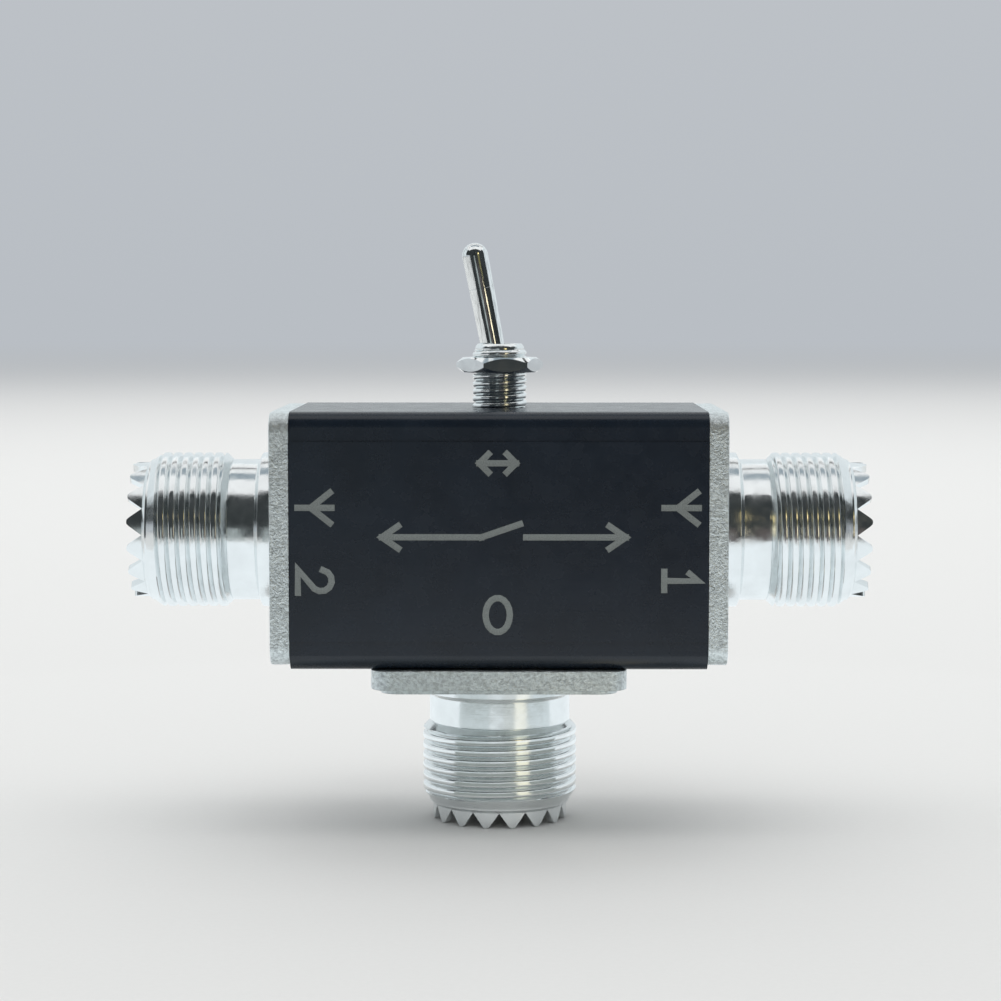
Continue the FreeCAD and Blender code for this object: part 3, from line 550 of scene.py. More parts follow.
class ANTENNA_OT_jack_shells(SwitchOperator, bpy.types.Operator):
    """Model the three jack shells: flange, collar, neck, thread and crown of teeth"""

    bl_idname = "antenna.jack_shells"
    bl_label = "Jack Shells"

    def execute(self, context):
        sizes, colours = context.scene.jack_sizes, context.scene.finish_colours
        cast = cast_nickel(colours.cast)
        level = turned_nickel("turned_nickel_sideways", colours.nickel, along=0)
        upright = turned_nickel("turned_nickel_upright", colours.nickel, along=2)
        for name in PORTS:
            jack = read_jack(name)
            bm = bmesh.new()
            self.shell(bm, jack, sizes, step=sizes.step_rise if name == "tx" else 0.0)
            finish_piece(f"{name}_threaded_shell", bm, "root",
                         [upright if name == "tx" else level, cast], jack.place, smooth=40,
                         stands_for=[f"{name}_jack_shell"])
        return {"FINISHED"}

    def shell(self, bm, jack, sizes, step):
        """The whole shell as one closed skin, drawn from the two ends of its thread."""
        thread_foot = jack.crest_start - (jack.crest - sizes.neck_radius)
        mouth_slope = (jack.crest - sizes.crown_radius) / (sizes.crown_foot - jack.crest_end)
        lower, upper = cut_thread(bm, jack.crest, sizes.thread_depth, sizes.thread_crest, sizes.thread_pitch,
                                  (thread_foot, sizes.neck_radius, 1.0),
                                  (sizes.crown_foot, sizes.crown_radius, mouth_slope))
        collar_foot = self.collar(bm, lower, sizes, step)
        rear = self.crown(bm, upper, jack, sizes)
        turned = set(bm.faces)
        self.flange(bm, jack, sizes, step, collar_foot, rear)
        for face in bm.faces:
            face.material_index = 0 if face in turned else 1

    def collar(self, bm, ring, sizes, step):
        """From the thread down over its undercut, the neck and the collar to the flange's face."""
        neck, collar, cut = sizes.neck_radius, sizes.collar_radius, sizes.undercut
        fillet, softness = 0.25 * MM, 0.1 * MM
        foot = ring[0].verts[0].co.z
        rings = draw_rings(bm, ring, [
            (neck - cut, foot - 0.3 * cut), (neck - cut, foot - cut), (neck, foot - 1.3 * cut),
            (neck, sizes.neck_foot), (collar, sizes.collar_reach),
            (collar, step + fillet), (collar + fillet, step)])
        ease(bm, rings[3] + rings[4], softness, segments=3)
        return [edge for edge in bm.edges if edge.is_boundary and edge.verts[0].co.z < step + fillet / 2]

    def crown(self, bm, ring, jack, sizes):
        """From the thread up over the teeth, down the bore and out to the rear rim."""
        bevel, bore, back = sizes.tooth_bevel, jack.mouth, -FLANGE_THICKNESS
        outer = sizes.crown_radius - bevel
        valley = jack.tips - sizes.tooth_height
        pitch_angle = math.tau / sizes.tooth_count
        straight, curve = 0.82, 0.6  # share of a tooth's slope that is straight, and how its tip rounds off
        softness = 0.1 * MM

        def tips(angle):
            """Height of the crown's edge: V-shaped gaps between tips that are slightly rounded."""
            from_gap = abs((angle / pitch_angle + 0.5) % 1.0 - 0.5) * pitch_angle * outer
            share = from_gap / (sizes.tooth_gap / 2)
            rounded = share - max(share - straight, 0) ** 2 / curve
            return valley + sizes.tooth_height * min(rounded, 1.0)

        rings = draw_rings(bm, ring, [
            (sizes.crown_radius, valley - bevel), (outer, valley), (outer, tips), (bore, tips),
            (bore, valley), (bore, jack.floor), (sizes.seat_radius, jack.floor),
            (sizes.seat_radius, sizes.seat_height), (sizes.tail_radius, sizes.seat_height),
            (sizes.tail_radius, jack.rear), (sizes.rim_radius, jack.rear), (sizes.rim_radius, back)])
        ease(bm, rings[2] + rings[3], softness)
        return [edge for edge in bm.edges if edge.is_boundary and edge.verts[0].co.z < back / 2]

    def flange(self, bm, jack, sizes, step, collar_foot, rear):
        """The square flange with its cast edges and four countersunk holes."""
        spacing, edge, rows, back = 0.3 * MM, 0.08 * MM, 6, -FLANGE_THICKNESS
        rear_outline = rounded_square(bm, jack.side - 2 * edge, sizes.flange_corner, back, spacing)
        outline = lift_outline(bm, rear_outline, back + edge, -edge)
        walls = verts_of(outline)
        for row in range(1, rows + 1):
            height = back + edge - (back + 2 * edge) * row / rows
            outline = lift_outline(bm, outline, height, 0)
            walls += verts_of(outline)
        outline = lift_outline(bm, outline, 0, edge)
        if step:
            outline = lift_outline(bm, outline, 0, sizes.step_inset - edge)
            outline = lift_outline(bm, outline, step - edge / 2, 0)
            outline = lift_outline(bm, outline, step, edge / 2)
        bm.normal_update()
        roughen(walls, depth=0.03 * MM, size=0.45 * MM)
        head, hole = sizes.screw_head_radius - (SEAT_SLIP if step else 0), sizes.screw_hole_radius
        tops, backs = [collar_foot, outline], [rear, rear_outline]
        countersink = ([(head, 0.0)] if step else []) + [(hole, hole - head), (hole, back)]
        for centre in screw_centres(jack, sizes):
            tops.append(circle(bm, head, step, centre, segments=48))
            backs.append(draw_rings(bm, tops[-1], countersink, centre)[-1])
        fill_flat(bm, tops)
        fill_flat(bm, backs)


def screw_centres(jack, sizes):
    """Where the four screws of a flange stand."""
    offset = jack.screw_edge - sizes.screw_head_radius
    return [(x, y) for x in (-offset, offset) for y in (-offset, offset)]


def roughen(verts, depth, size):
    """Press a cast wall in by up to depth or so, in lumps of a size."""
    for vert in verts:
        lumps = noise.fractal(vert.co / size, 0.7, 2.0, 3)  # falloff, step in scale, layers
        vert.co -= vert.normal * depth * min(max(0.5 + lumps, 0.0), 1.6)


class ANTENNA_OT_flange_screws(SwitchOperator, bpy.types.Operator):
    """Model the countersunk screws with a cross recess, four in each flange"""

    bl_idname = "antenna.flange_screws"
    bl_label = "Flange Screws"

    def execute(self, context):
        sizes = context.scene.jack_sizes
        material = plain_metal("zinc_plated_steel", "#a9a9a6", 0.28, 0.3 * MM, 0.004 * MM)
        for name in PORTS:
            jack = read_jack(name)
            bm = bmesh.new()
            for x, y in screw_centres(jack, sizes):
                screw = bmesh.new()
                self.screw(screw, jack, sizes)
                stop = math.radians(37 + 900 * (x + 2 * y) / MM)  # each is stopped at an angle of its own
                turn = Matrix.Rotation(stop, 4, "Z")
                bmesh.ops.transform(screw, matrix=Matrix.Translation((x, y, 0)) @ turn, verts=screw.verts)
                mesh = bpy.data.meshes.new("screw")
                screw.to_mesh(mesh)
                screw.free()
                bm.from_mesh(mesh)
                bpy.data.meshes.remove(mesh)
            finish_piece(f"{name}_cross_screws", bm, "root", [material], jack.place,
                         stands_for=[f"{name}_flange_screws"])
        return {"FINISHED"}

    def screw(self, bm, jack, sizes):
        """A flat head with a cross recess, its cone and its shank."""
        head, shank = sizes.screw_head_radius - SEAT_SLIP, sizes.screw_hole_radius - SEAT_SLIP
        wing, width, tip, taper = sizes.recess_reach, sizes.recess_width, 0.3 * MM, 0.6
        rim = circle(bm, head, 0.0, segments=48)
        grid = bmesh.ops.create_grid(bm, x_segments=3, y_segments=3, size=wing)["verts"]
        for vert in grid:
            vert.co.x = math.copysign(wing if abs(vert.co.x) > wing / 2 else width, vert.co.x)
            vert.co.y = math.copysign(wing if abs(vert.co.y) > wing / 2 else width, vert.co.y)
        cells = list(dict.fromkeys(face for vert in grid for face in vert.link_faces))
        corners = [face for face in cells if min(map(abs, face.calc_center_median()[:2])) > width]
        cross = [face for face in cells if face not in corners]
        bmesh.ops.delete(bm, geom=corners, context="FACES")
        edge_of_cross = [edge for face in cross for edge in face.edges if edge.is_boundary]
        sunk = bmesh.ops.extrude_face_region(bm, geom=cross)
        floor = [part for part in sunk["geom"] if isinstance(part, bmesh.types.BMVert)]
        bmesh.ops.translate(bm, vec=(0, 0, -sizes.recess_depth), verts=floor)
        bmesh.ops.scale(bm, vec=(taper, taper, 1), verts=floor)
        bmesh.ops.delete(bm, geom=cross, context="FACES_ONLY")
        fill_flat(bm, [rim, edge_of_cross])
        rings = draw_rings(bm, rim, [
            (head, -SEAT_SLIP), (shank, shank - head - SEAT_SLIP), (shank, jack.screw_foot + tip),
            (shank - tip, jack.screw_foot)])
        bmesh.ops.contextual_create(bm, geom=rings[-1])


class ANTENNA_OT_toggle_bushing(SwitchOperator, bpy.types.Operator):
    """Model the threaded bushing with its domed end and flared mouth"""

    bl_idname = "antenna.toggle_bushing"
    bl_label = "Toggle Bushing"

    def execute(self, context):
        sizes, colours = context.scene.toggle_sizes, context.scene.finish_colours
        lowest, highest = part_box("switch_bushing")
        base, top, crest = lowest.z, highest.z, highest.x
        pivot = read_pivot()
        share, bevel = 0.42, 0.25 * MM  # of the pitch for the crest, and at either end of the thread
        ball, throat, foot_bore = sizes.ball_radius + SLIP, 1.2 * MM, 2.41 * MM
        dome, shoulder = top - sizes.dome_height, crest - bevel
        bm = bmesh.new()
        upper = cut_thread(bm, crest, sizes.thread_depth, share, sizes.thread_pitch,
                           (base, shoulder, 1.0), (dome, shoulder, 1.0), points=10)[1]
        arc = [(shoulder - (shoulder - sizes.dome_radius) * math.sin(turn) ** 2,
                dome + sizes.dome_height * math.sin(turn))
               for turn in (math.radians(15 * i) for i in range(1, 7))]
        rings = draw_rings(bm, upper, arc + [
            (sizes.mouth_radius, top), (math.sqrt(ball ** 2 - throat ** 2), pivot.z + throat),
            (ball, pivot.z), (ball, pivot.z - ball), (foot_bore, base), (shoulder, base)])
        ease(bm, rings[6], 0.06 * MM)
        material = turned_nickel("turned_nickel_bushing", colours.nickel, along=2)
        finish_piece("threaded_bushing", bm, "root", [material],
                     Matrix.Translation((pivot.x, pivot.y, 0)), smooth=50, stands_for=["switch_bushing"])
        return {"FINISHED"}


class ANTENNA_OT_toggle_nut(SwitchOperator, bpy.types.Operator):
    """Model the hexagon nut: a bevelled disc whose six flats are cut away"""

    bl_idname = "antenna.toggle_nut"
    bl_label = "Toggle Nut"

    def execute(self, context):
        sizes, colours = context.scene.toggle_sizes, context.scene.finish_colours
        lowest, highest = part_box("switch_nut")
        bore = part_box("switch_bushing")[1].x + SLIP
        corner, flat = sizes.nut_width / math.sqrt(3), sizes.nut_width / 2
        bevel, lead, bottom, top = sizes.nut_bevel, sizes.nut_lead, lowest.z, highest.z
        face = flat - 0.1 * MM
        bm = bmesh.new()
        lathe(bm, [(bore, bottom + lead), (bore + lead, bottom), (face, bottom), (corner, bottom + bevel),
                   (corner, top - bevel), (face, top), (bore + lead, top), (bore, top - lead),
                   (bore, bottom + lead)], segments=120)
        for side in range(6):
            turn = sizes.nut_turn + side * math.tau / 6
            outward = Vector((math.cos(turn), math.sin(turn), 0))
            cut = bmesh.ops.bisect_plane(bm, geom=bm.verts[:] + bm.edges[:] + bm.faces[:], dist=WELD,
                                         plane_co=outward * flat, plane_no=outward, clear_outer=True)
            rim = [part for part in cut["geom_cut"] if isinstance(part, bmesh.types.BMEdge)]
            bmesh.ops.contextual_create(bm, geom=rim)
        finish_piece("hexagon_nut", bm, "root", [polished_nickel(colours.nickel)],
                     stands_for=["switch_nut"])
        return {"FINISHED"}


def read_pivot():
    return Vector(next(joint["pos_m"] for joint in frame["joints"] if joint["name"] == "lever_throw"))


def lever_place():
    """The matrix that hangs a piece, modelled upright, from the lever's pivot at its lean."""
    throw = next(joint["range_deg"] for joint in frame["joints"] if joint["name"] == "lever_throw")
    lean = math.radians(throw[1] - throw[0]) / 2
    return Matrix.Translation(read_pivot()) @ Matrix.Rotation(-lean, 4, "Y"), lean


class ANTENNA_OT_toggle_lever(SwitchOperator, bpy.types.Operator):
    """Model the polished lever: round-ended bat, ball and hollow tail"""

    bl_idname = "antenna.toggle_lever"
    bl_label = "Toggle Lever"

    def execute(self, context):
        sizes, colours = context.scene.toggle_sizes, context.scene.finish_colours
        place, lean = lever_place()
        lowest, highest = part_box("switch_lever")
        tip = sizes.lever_tip
        reach = (highest.z - place.translation.z - tip) / math.cos(lean) + tip
        tail = (place.translation.z - lowest.z - sizes.tail_radius * math.sin(lean)) / math.cos(lean)
        ball, base = sizes.ball_radius, sizes.lever_base
        low = math.asin(sizes.tail_radius / ball)
        high = math.pi - math.asin(base / ball)
        turns = [low + (high - low) * i / 16 for i in range(17)]
        profile = [(0, -sizes.bore_end), (sizes.tail_bore, -sizes.bore_end), (sizes.tail_bore, -tail),
                   (sizes.tail_radius, -tail)]
        profile += [(ball * math.sin(turn), -ball * math.cos(turn)) for turn in turns]
        foot, ring = -ball * math.cos(high), reach - sizes.ring_drop
        waist = base + (tip - base) * (ring - foot) / (reach - tip - foot)
        profile += [(waist - dip * sizes.ring_depth, ring + rise * sizes.ring_width)
                    for dip, rise in ((0, -0.5), (1, -0.3), (1, 0.3), (0, 0.5))]
        profile += [(tip * math.cos(turn), reach - tip + tip * math.sin(turn))
                    for turn in (math.pi / 2 * i / 12 for i in range(13))]
        bm = bmesh.new()
        lathe(bm, profile, segments=96)
        finish_piece("polished_lever", bm, "lever",
                     [drawn_nickel(colours.nickel, lean)], place,
                     stands_for=["switch_lever"])
        return {"FINISHED"}


class ANTENNA_OT_lever_spring(SwitchOperator, bpy.types.Operator):
    """Wind the spring that presses the plunger out of the lever's tail"""

    bl_idname = "antenna.lever_spring"
    bl_label = "Lever Spring"

    def execute(self, context):
        sizes = context.scene.toggle_sizes
        place, lean = lever_place()
        lowest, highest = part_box("lever_spring")
        outer = sizes.spring_radius + SLEEVE_HALF_WALL
        pivot = place.translation.z
        top = (highest.z - pivot - outer * math.sin(lean)) / math.cos(lean)
        bottom = (lowest.z - pivot + outer * math.sin(lean)) / math.cos(lean)
        wire, turns, steps = sizes.spring_wire, sizes.spring_turns, 24
        rise = (top - bottom - 2 * wire) / turns
        bm = bmesh.new()
        start = Matrix.Translation((sizes.spring_radius, 0, bottom + wire))
        section = bmesh.ops.create_circle(bm, cap_ends=True, segments=8, radius=wire,
                                          matrix=start @ Matrix.Rotation(math.pi / 2, 4, "X"))
        face = section["verts"][0].link_faces[0]
        bmesh.ops.spin(bm, geom=[face], cent=(0, 0, 0), axis=(0, 0, 1), dvec=(0, 0, rise / steps),
                       angle=math.tau * turns, steps=steps * turns, use_merge=False)
        spring = finish_piece("coiled_spring", bm, "lever",
                              [plain_metal("spring_wire", "#8d8d8a", 0.3, 0.2 * MM, 0.002 * MM)], place,
                              smooth=60, stands_for=["lever_spring"])
        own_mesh(spring)
        return {"FINISHED"}


class ANTENNA_OT_front_marks(SwitchOperator, bpy.types.Operator):
    """Engrave the plain marks on the front: port numbers, aerials, a signal line and arrows"""

    bl_idname = "antenna.front_marks"
    bl_label = "Front Marks"

    def execute(self, context):
        sizes, colours = context.scene.mark_sizes, context.scene.finish_colours
        lowest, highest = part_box("case_tube")
        front, middle = lowest.y, (lowest.z + highest.z) / 2
        layer = 0.002 * MM  # so that strokes that cross don't lie in one plane
        material = engraved_line(colours.engraving)
        for name, strokes in self.marks(middle / MM).items():
            bm = bmesh.new()
            for index, points in enumerate(strokes):
                self.stroke(bm, points, sizes, front - index * layer)
            finish_piece(name, bm, "root", [material], smooth=20)
        return {"FINISHED"}

    def marks(self, middle):
        """Each mark as strokes through points x, z in metres, placed from the case's middle height.

        The shapes below are drawn in millimetres.
        """
        def at(points, x, z, turned=False):
            """The points moved to x, z, and turned to read downwards if asked."""
            return [((x + b) * MM, (z - a) * MM) if turned else ((x + a) * MM, (z + b) * MM)
                    for a, b in points]

        arc = [(1.05 * math.cos(math.radians(t)), 2.3 + 1.05 * math.sin(math.radians(t)))
               for t in range(170, -41, -30)]
        two = [arc + [(-1.1, 0), (1.2, 0)]]
        one = [[(-0.7, 2.5), (0, 3.35), (0, 0)], [(-0.9, 0), (0.9, 0)]]
        aerial = [[(0, 0), (0, 3.35)], [(-1.5, 3.2), (0, 1.3), (1.5, 3.2)]]
        ring = [(1.2 * math.cos(math.radians(t)), 1.7 + 1.7 * math.sin(math.radians(t)))
                for t in range(0, 361, 20)]
        line = [[(-12, 0), (-2.2, 0)], [(2.2, 0), (12, 0)], [(-10.4, 1.1), (-12, 0), (-10.4, -1.1)],
                [(10.4, 1.1), (12, 0), (10.4, -1.1)], [(-2.2, 0), (1.6, 1.3)]]
        throw = [[(-1.8, 0), (1.8, 0)], [(-0.9, 0.9), (-1.8, 0), (-0.9, -0.9)],
                 [(0.9, 0.9), (1.8, 0), (0.9, -0.9)]]
        return {
            "left_port_mark": [at(s, -19.8, middle + 3.4, True) for s in aerial]
                + [at(s, -19.8, middle - 3.8, True) for s in two],
            "right_port_mark": [at(s, 16.3, middle + 3.4, True) for s in aerial]
                + [at(s, 16.3, middle - 3.8, True) for s in one],
            "signal_line_mark": [at(s, 0.5, middle + 0.5) for s in line],
            "bottom_port_mark": [at(ring, -0.1, middle - 8.9)],
            "lever_throw_mark": [at(s, -0.1, middle + 7.8) for s in throw],
        }

    def stroke(self, bm, points, sizes, front):
        """One engraved line: a ribbon through the points with a bright burr round a lower middle."""
        closed = (Vector(points[0]) - Vector(points[-1])).length < WELD
        half, sharpest = sizes.stroke / 2, 0.4  # the second keeps a sharp bend's outer corner short
        path = [Vector(point) for point in (points[:-1] if closed else points)]
        count = len(path)
        pairs = []
        for i, here in enumerate(path):
            before = path[i - 1] if closed or i else here * 2 - path[1]
            after = path[(i + 1) % count] if closed or i < count - 1 else here * 2 - path[-2]
            into, out = (here - before).normalized(), (after - here).normalized()
            normal = Vector((-into.y - out.y, into.x + out.x)).normalized()
            reach = half / max(normal.dot(Vector((-into.y, into.x))), sharpest)
            end = Vector((0, 0)) if closed or 0 < i < count - 1 else (out * half * (1 if i else -1))
            pairs.append([bm.verts.new((p.x, front, p.y)) for p in
                          (here + end + normal * reach, here + end - normal * reach)])
        following = pairs[1:] + pairs[:1] if closed else pairs[1:]
        faces = [bm.faces.new((a[0], a[1], b[1], b[0])) for a, b in zip(pairs, following)]
        bmesh.ops.recalc_face_normals(bm, faces=faces)
        if faces[0].normal.y > 0:
            bmesh.ops.reverse_faces(bm, faces=faces)
        raised = bmesh.ops.extrude_face_region(bm, geom=faces)
        top = [part for part in raised["geom"] if isinstance(part, bmesh.types.BMFace)]
        base = [face for face in faces if face.is_valid]
        for group, rise in ((top, -sizes.rise), (base, sizes.rise)):
            verts = list(dict.fromkeys(vert for face in group for vert in face.verts))
            bmesh.ops.translate(bm, vec=(0, rise, 0), verts=verts)
        bmesh.ops.inset_region(bm, faces=top, thickness=sizes.rim, depth=-sizes.hollow, use_even_offset=True,
                               use_boundary=True)


class ANTENNA_OT_frame_finishes(SwitchOperator, bpy.types.Operator):
    """Give every piece that the frame brings its finish"""

    bl_idname = "antenna.frame_finishes"
    bl_label = "Frame Finishes"

    def execute(self, context):
        colours = context.scene.finish_colours
        finishes = {
            "case": anodised_aluminium(colours.anodised),
            "insulator": moulded_plastic("white_ptfe", "#e9e7e0", 0.45, 0.8 * MM, 0.006 * MM,
                                         **{"Subsurface Weight": 0.15, "Subsurface Scale": 0.5 * MM}),
            "contact": plain_metal("silver_plated_brass", "#d9c79a", 0.22, 0.5 * MM, 0.003 * MM),
            "spring_steel": plain_metal("pressed_steel", "#8f8f8c", 0.35, 0.4 * MM, 0.004 * MM),
            "phenolic": moulded_plastic("blue_moulded_phenolic", "#1d3a52", 0.4, 0.5 * MM, 0.008 * MM),
            "terminal": plain_metal("tinned_brass", "#c9c0a8", 0.3, 0.4 * MM, 0.003 * MM),
            "wire": plain_metal("bare_copper", "#b87350", 0.3, 0.3 * MM, 0.002 * MM),
        }
        slots = {part["node"]: part["material_slot"] for part in frame["record"]["subparts"]}
        for name, node in frame["nodes"].items():
            if slots[name] in finishes:
                node.data.materials.clear()
                node.data.materials.append(finishes[slots[name]])
        return {"FINISHED"}


class ANTENNA_OT_studio(SwitchOperator, bpy.types.Operator):
    """Lay the floor and set the lights and the camera"""

    bl_idname = "antenna.studio"
    bl_label = "Studio"

    def execute(self, context):
        settings = context.scene.studio_settings
        self.floor(settings)
        self.world(context.scene, settings)
        self.lights(settings)
        self.painted_reflections()
        self.camera(context.scene)
        context.scene.view_settings.view_transform = "Standard"
        return {"FINISHED"}

    def add(self, name, data):
        made = bpy.data.objects.new(name, data)
        bpy.context.scene.collection.objects.link(made)
        return made

    def floor(self, settings):
        """Seamless paper that fades into the room far behind the switch."""
        bm = bmesh.new()
        bmesh.ops.create_circle(bm, cap_ends=True, segments=96, radius=8.0)
        mesh = bpy.data.meshes.new("floor")
        bm.to_mesh(mesh)
        bm.free()
        material, tree, shader, place = new_material("seamless_paper", settings.paper, 0.0, 0.95,
                                                     **{"Specular IOR Level": 0.1})
        fibres = grain(tree, place, 0.6 * MM, detail=4.0)
        feed(tree, shader, tinted(tree, fibres, settings.paper, 0.985), normal=bump(tree, fibres, 0.01 * MM))
        away = add_node(tree, "ShaderNodeVectorMath", links={0: place}, operation="LENGTH").outputs["Value"]
        far = add_node(tree, "ShaderNodeMapRange", {"From Min": 0.35, "From Max": 3.0}, {"Value": away},
                       interpolation_type="SMOOTHSTEP").outputs["Result"]
        haze = add_node(tree, "ShaderNodeEmission", {"Color": settings.horizon})
        fade = add_node(tree, "ShaderNodeMixShader", links={
            0: far, 1: shader.outputs["BSDF"], 2: haze.outputs["Emission"]})
        tree.links.new(fade.outputs["Shader"], tree.nodes["Material Output"].inputs["Surface"])
        mesh.materials.append(material)
        self.add("floor", mesh)

    def world(self, scene, settings):
        """A pale room: even and a little blue near the horizon, lighter overhead."""
        world = bpy.data.worlds.new("pale_room")
        world.use_nodes = True
        tree = world.node_tree
        background = tree.nodes["Background"]
        direction = add_node(tree, "ShaderNodeTexCoord").outputs["Generated"]
        up = add_node(tree, "ShaderNodeSeparateXYZ", links={"Vector": direction}).outputs["Z"]
        ramp = add_node(tree, "ShaderNodeValToRGB", links={"Fac": up})
        ramp.color_ramp.elements[0].color = settings.horizon
        ramp.color_ramp.elements[1].color = settings.zenith
        tree.links.new(ramp.outputs["Color"], background.inputs["Color"])
        scene.world = world

    def lights(self, settings):
        """Two softboxes overhead, with a gap between them. A dark glowing panel above them, seen only in
        reflections, paints a dark reflection in that gap, and a grey one just below the front softbox paints a
        grey patch into its reflection.
        """
        across, rise = 1.2, 0.6
        front_edge, gap_start, gap_end, rear_edge = -0.285, 0.35, 0.41, 1.25
        for name, near, far in (("front_softbox", front_edge, gap_start),
                                ("rear_softbox", gap_end, rear_edge)):
            light = bpy.data.lights.new(name, "AREA")
            light.shape = "RECTANGLE"
            light.size, light.size_y = across, far - near
            light.energy = settings.softbox * across * (far - near)
            lamp = self.add(name, light)
            lamp.visible_camera = False
            lamp.location = (0, (near + far) / 2, rise)
        # glowing panels seen only in reflections: a dark one paints the gap between the softboxes, a grey one
        # paints a patch into the front softbox's reflection
        self.panel("dark_painted_reflection_overhead", "#1c1e1f", across, front_edge, rear_edge, rise + 0.01)
        self.panel("grey_painted_reflection_overhead", "#98a4ac", 0.5, 0.04, 0.2, rise - 0.01)

    def painted_reflections(self):
        """Painted reflections: glowing cards that only glossy surfaces see. Dark ones round the front and low
        before it paint dark reflections, strips low before each side jack and before the nut, a white one near by
        below and pale ones behind paint the room, warm ones at the right paint glints, and low ones round the
        bottom jack paint its reflections and a bright streak. Each is a profile of radius and height between two
        azimuths."""
        # dark is the glowing colour of the painted dark reflections round the front
        far, dark = 0.9, "#35393a"
        jack_height, jack_middle = 0.03, 0.031

        def arc(low, high, radius=far):
            """A part of a dome about the side jacks, between two elevations."""
            turns = [math.radians(low + (high - low) * i / 12) for i in range(13)]
            return [(radius * math.cos(turn), jack_height + radius * math.sin(turn)) for turn in turns]

        strip = [(0.121, 0.001), (0.85, 0.001), (0.85, 0.125)]
        low = [(0.026, 0.0055), (0.026, 0.012)]
        foot = [(0.015, 0.001), (0.026, 0.001), (0.026, 0.0055)]
        for name, shade_hex, profile, first, last, *centre_and_strength in (
                # painted dark reflections round the front and low before it
                ("dark_painted_reflection_front", dark, arc(6.4, 90), -88, 88),
                ("dark_painted_reflection_low_front", dark, [(0.2, 0.0005), (far, 0.0005)] + arc(0, 6.6), -46, 75),
                # painted reflections of a pale room behind and of a white floor near by below
                ("pale_painted_reflection_behind", "#e4ebee", arc(0, 60), 89, 271),
                ("white_painted_reflection_below", "#f6fcff", [(0.028, 0.0008), (0.121, 0.0008)], -180, 180),
                # painted warm glints at the right, glowing brighter than white, and a dim warm painted reflection
                # round them
                ("warm_painted_glint_strip", "#fff0cc", [(0.35, 0.0), (0.35, 0.085)], 25, 34, 0.0, 1.8),
                ("warm_painted_glint_spot", "#ffe6a8", arc(19, 26, 0.87), 24, 34, 0.0, 2.5),
                ("warm_painted_reflection", "#77734f", arc(8, 32, 0.88), 22, 36),
                # painted reflections low before the nut and before each side jack, each in a colour of its own
                ("brown_painted_reflection_strip", "#7d766b", [(0.35, 0.002), (0.85, 0.002)], -2.8, 2.8),
                ("left_painted_reflection_strip", "#a8b0b0", strip, -12, -1.5, -jack_middle),
                ("right_painted_reflection_strip", "#5b5453", strip, 1.5, 12, jack_middle),
                # painted reflections round the bottom jack; the bright ones paint its highlight streak
                ("low_left_painted_reflection", "#d0d9db", low, -60, -14),
                ("low_middle_painted_reflection", "#e3e9eb", low, -14, 6),
                ("low_right_painted_reflection", "#d8dddc", low, 6, 22),
                ("low_painted_highlight", "#fffff8", low, 22, 40),
                ("low_far_right_painted_reflection", "#dbe4e7", low, 40, 80),
                ("foot_left_painted_reflection", "#959b98", foot, -60, 22),
                ("foot_painted_highlight", "#fffbe4", foot, 22, 38),
                ("foot_right_painted_reflection", "#959b98", foot, 38, 80)):
            self.card(name, shade_hex, profile, first, last, *centre_and_strength)

    def card(self, name, shade_hex, profile, first, last, centre=0.0, strength=1.0):
        """A painted reflection: a glowing card turned about a vertical axis, from a first to a last azimuth; 0 is
        the front.
        """
        bm = bmesh.new()
        first, last = math.radians(first - 90), math.radians(last - 90)
        points = [bm.verts.new((centre + radius * math.cos(first), radius * math.sin(first), height))
                  for radius, height in profile]
        edges = [bm.edges.new(pair) for pair in zip(points, points[1:])]
        bmesh.ops.spin(bm, geom=points + edges, cent=(centre, 0, 0), axis=(0, 0, 1), angle=last - first,
                       steps=48)
        self.paint_reflection(name, shade_hex, bm, strength)

    def panel(self, name, shade_hex, across, near, far, height):
        """A level painted reflection: a glowing card, given by its width and by how far forward and back it
        reaches.
        """
        bm = bmesh.new()
        bmesh.ops.create_grid(bm, x_segments=1, y_segments=1, size=0.5)
        bmesh.ops.scale(bm, vec=(across, far - near, 1), verts=bm.verts)
        bmesh.ops.translate(bm, vec=(0, (near + far) / 2, height), verts=bm.verts)
        self.paint_reflection(name, shade_hex, bm)

    def paint_reflection(self, name, shade_hex, bm, strength=1.0):
        """Make the mesh an evenly glowing card that shows in reflections and nowhere else: a painted reflection.
        """
        mesh = bpy.data.meshes.new(name)
        bm.to_mesh(mesh)
        bm.free()
        material = bpy.data.materials.new(name)
        material.use_nodes = True
        tree = material.node_tree
        tree.nodes.clear()
        glow = add_node(tree, "ShaderNodeEmission", {"Color": linear(shade_hex), "Strength": strength})
        add_node(tree, "ShaderNodeOutputMaterial", links={"Surface": glow.outputs["Emission"]})
        mesh.materials.append(material)
        card = self.add(name, mesh)
        for ray in ("camera", "diffuse", "shadow", "transmission", "volume_scatter"):
            setattr(card, f"visible_{ray}", False)

    def camera(self, scene):
        """A long lens at the front, a little above the switch's middle and tilted down."""
        tilt, turn = math.radians(4.507), math.radians(0.405)
        camera = self.add("camera", bpy.data.cameras.new("camera"))
        camera.location = (0.00196, -0.26522, 0.05384)
        camera.rotation_euler = (math.pi / 2 - tilt, 0, turn)
        camera.data.lens = 92.7
        camera.data.clip_start = 0.01
        scene.camera = camera


OPERATORS = (
    ANTENNA_OT_studio,
    ANTENNA_OT_frame_finishes,
    ANTENNA_OT_jack_shells,
    ANTENNA_OT_flange_screws,
    ANTENNA_OT_toggle_bushing,
    ANTENNA_OT_toggle_nut,
    ANTENNA_OT_toggle_lever,
    ANTENNA_OT_lever_spring,
    ANTENNA_OT_front_marks,
)
SETTINGS = {
    "jack_sizes": JackSizes,
    "toggle_sizes": ToggleSizes,
    "mark_sizes": MarkSizes,
    "finish_colours": FinishColours,
    "studio_settings": StudioSettings,
}


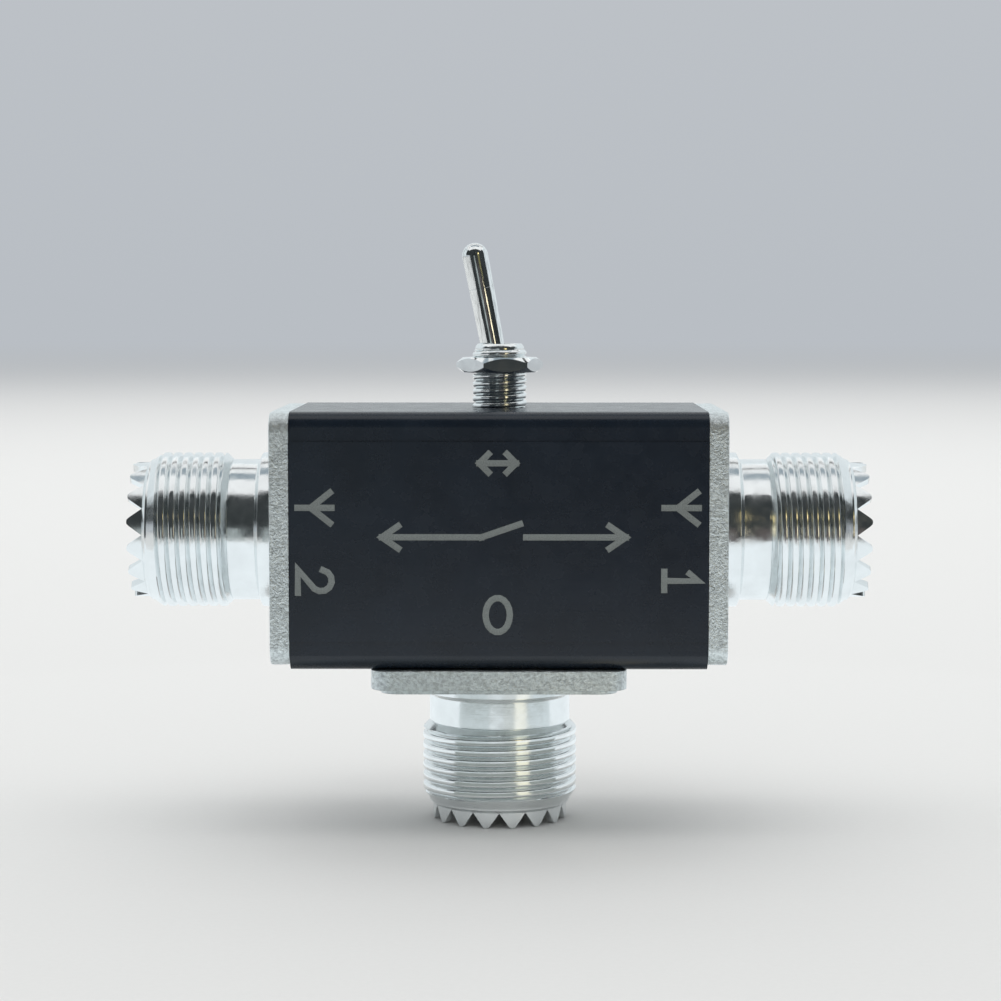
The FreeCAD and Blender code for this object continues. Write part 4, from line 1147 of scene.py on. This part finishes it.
class ANTENNA_PT_sidebar(bpy.types.Panel):
    """Buttons and settings of the antenna switch"""

    bl_label = "Antenna Switch"
    bl_space_type = "VIEW_3D"
    bl_region_type = "UI"
    bl_category = "Antenna Switch"

    def draw(self, context):
        for operator in OPERATORS:
            self.layout.operator(operator.bl_idname)
        for name, group in SETTINGS.items():
            box = self.layout.box()
            for setting in group.__annotations__:
                box.prop(getattr(context.scene, name), setting)


def register():
    for group in (*SETTINGS.values(), *OPERATORS, ANTENNA_PT_sidebar):
        bpy.utils.register_class(group)
    for name, group in SETTINGS.items():
        setattr(bpy.types.Scene, name, PointerProperty(type=group))


def unregister():
    for name in SETTINGS:
        delattr(bpy.types.Scene, name)
    for group in reversed((*SETTINGS.values(), *OPERATORS, ANTENNA_PT_sidebar)):
        bpy.utils.unregister_class(group)


def main():
    register()
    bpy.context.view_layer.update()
    for operator in OPERATORS:
        family, name = operator.bl_idname.split(".")
        getattr(getattr(bpy.ops, family), name)()


if __name__ == "__main__":
    main()
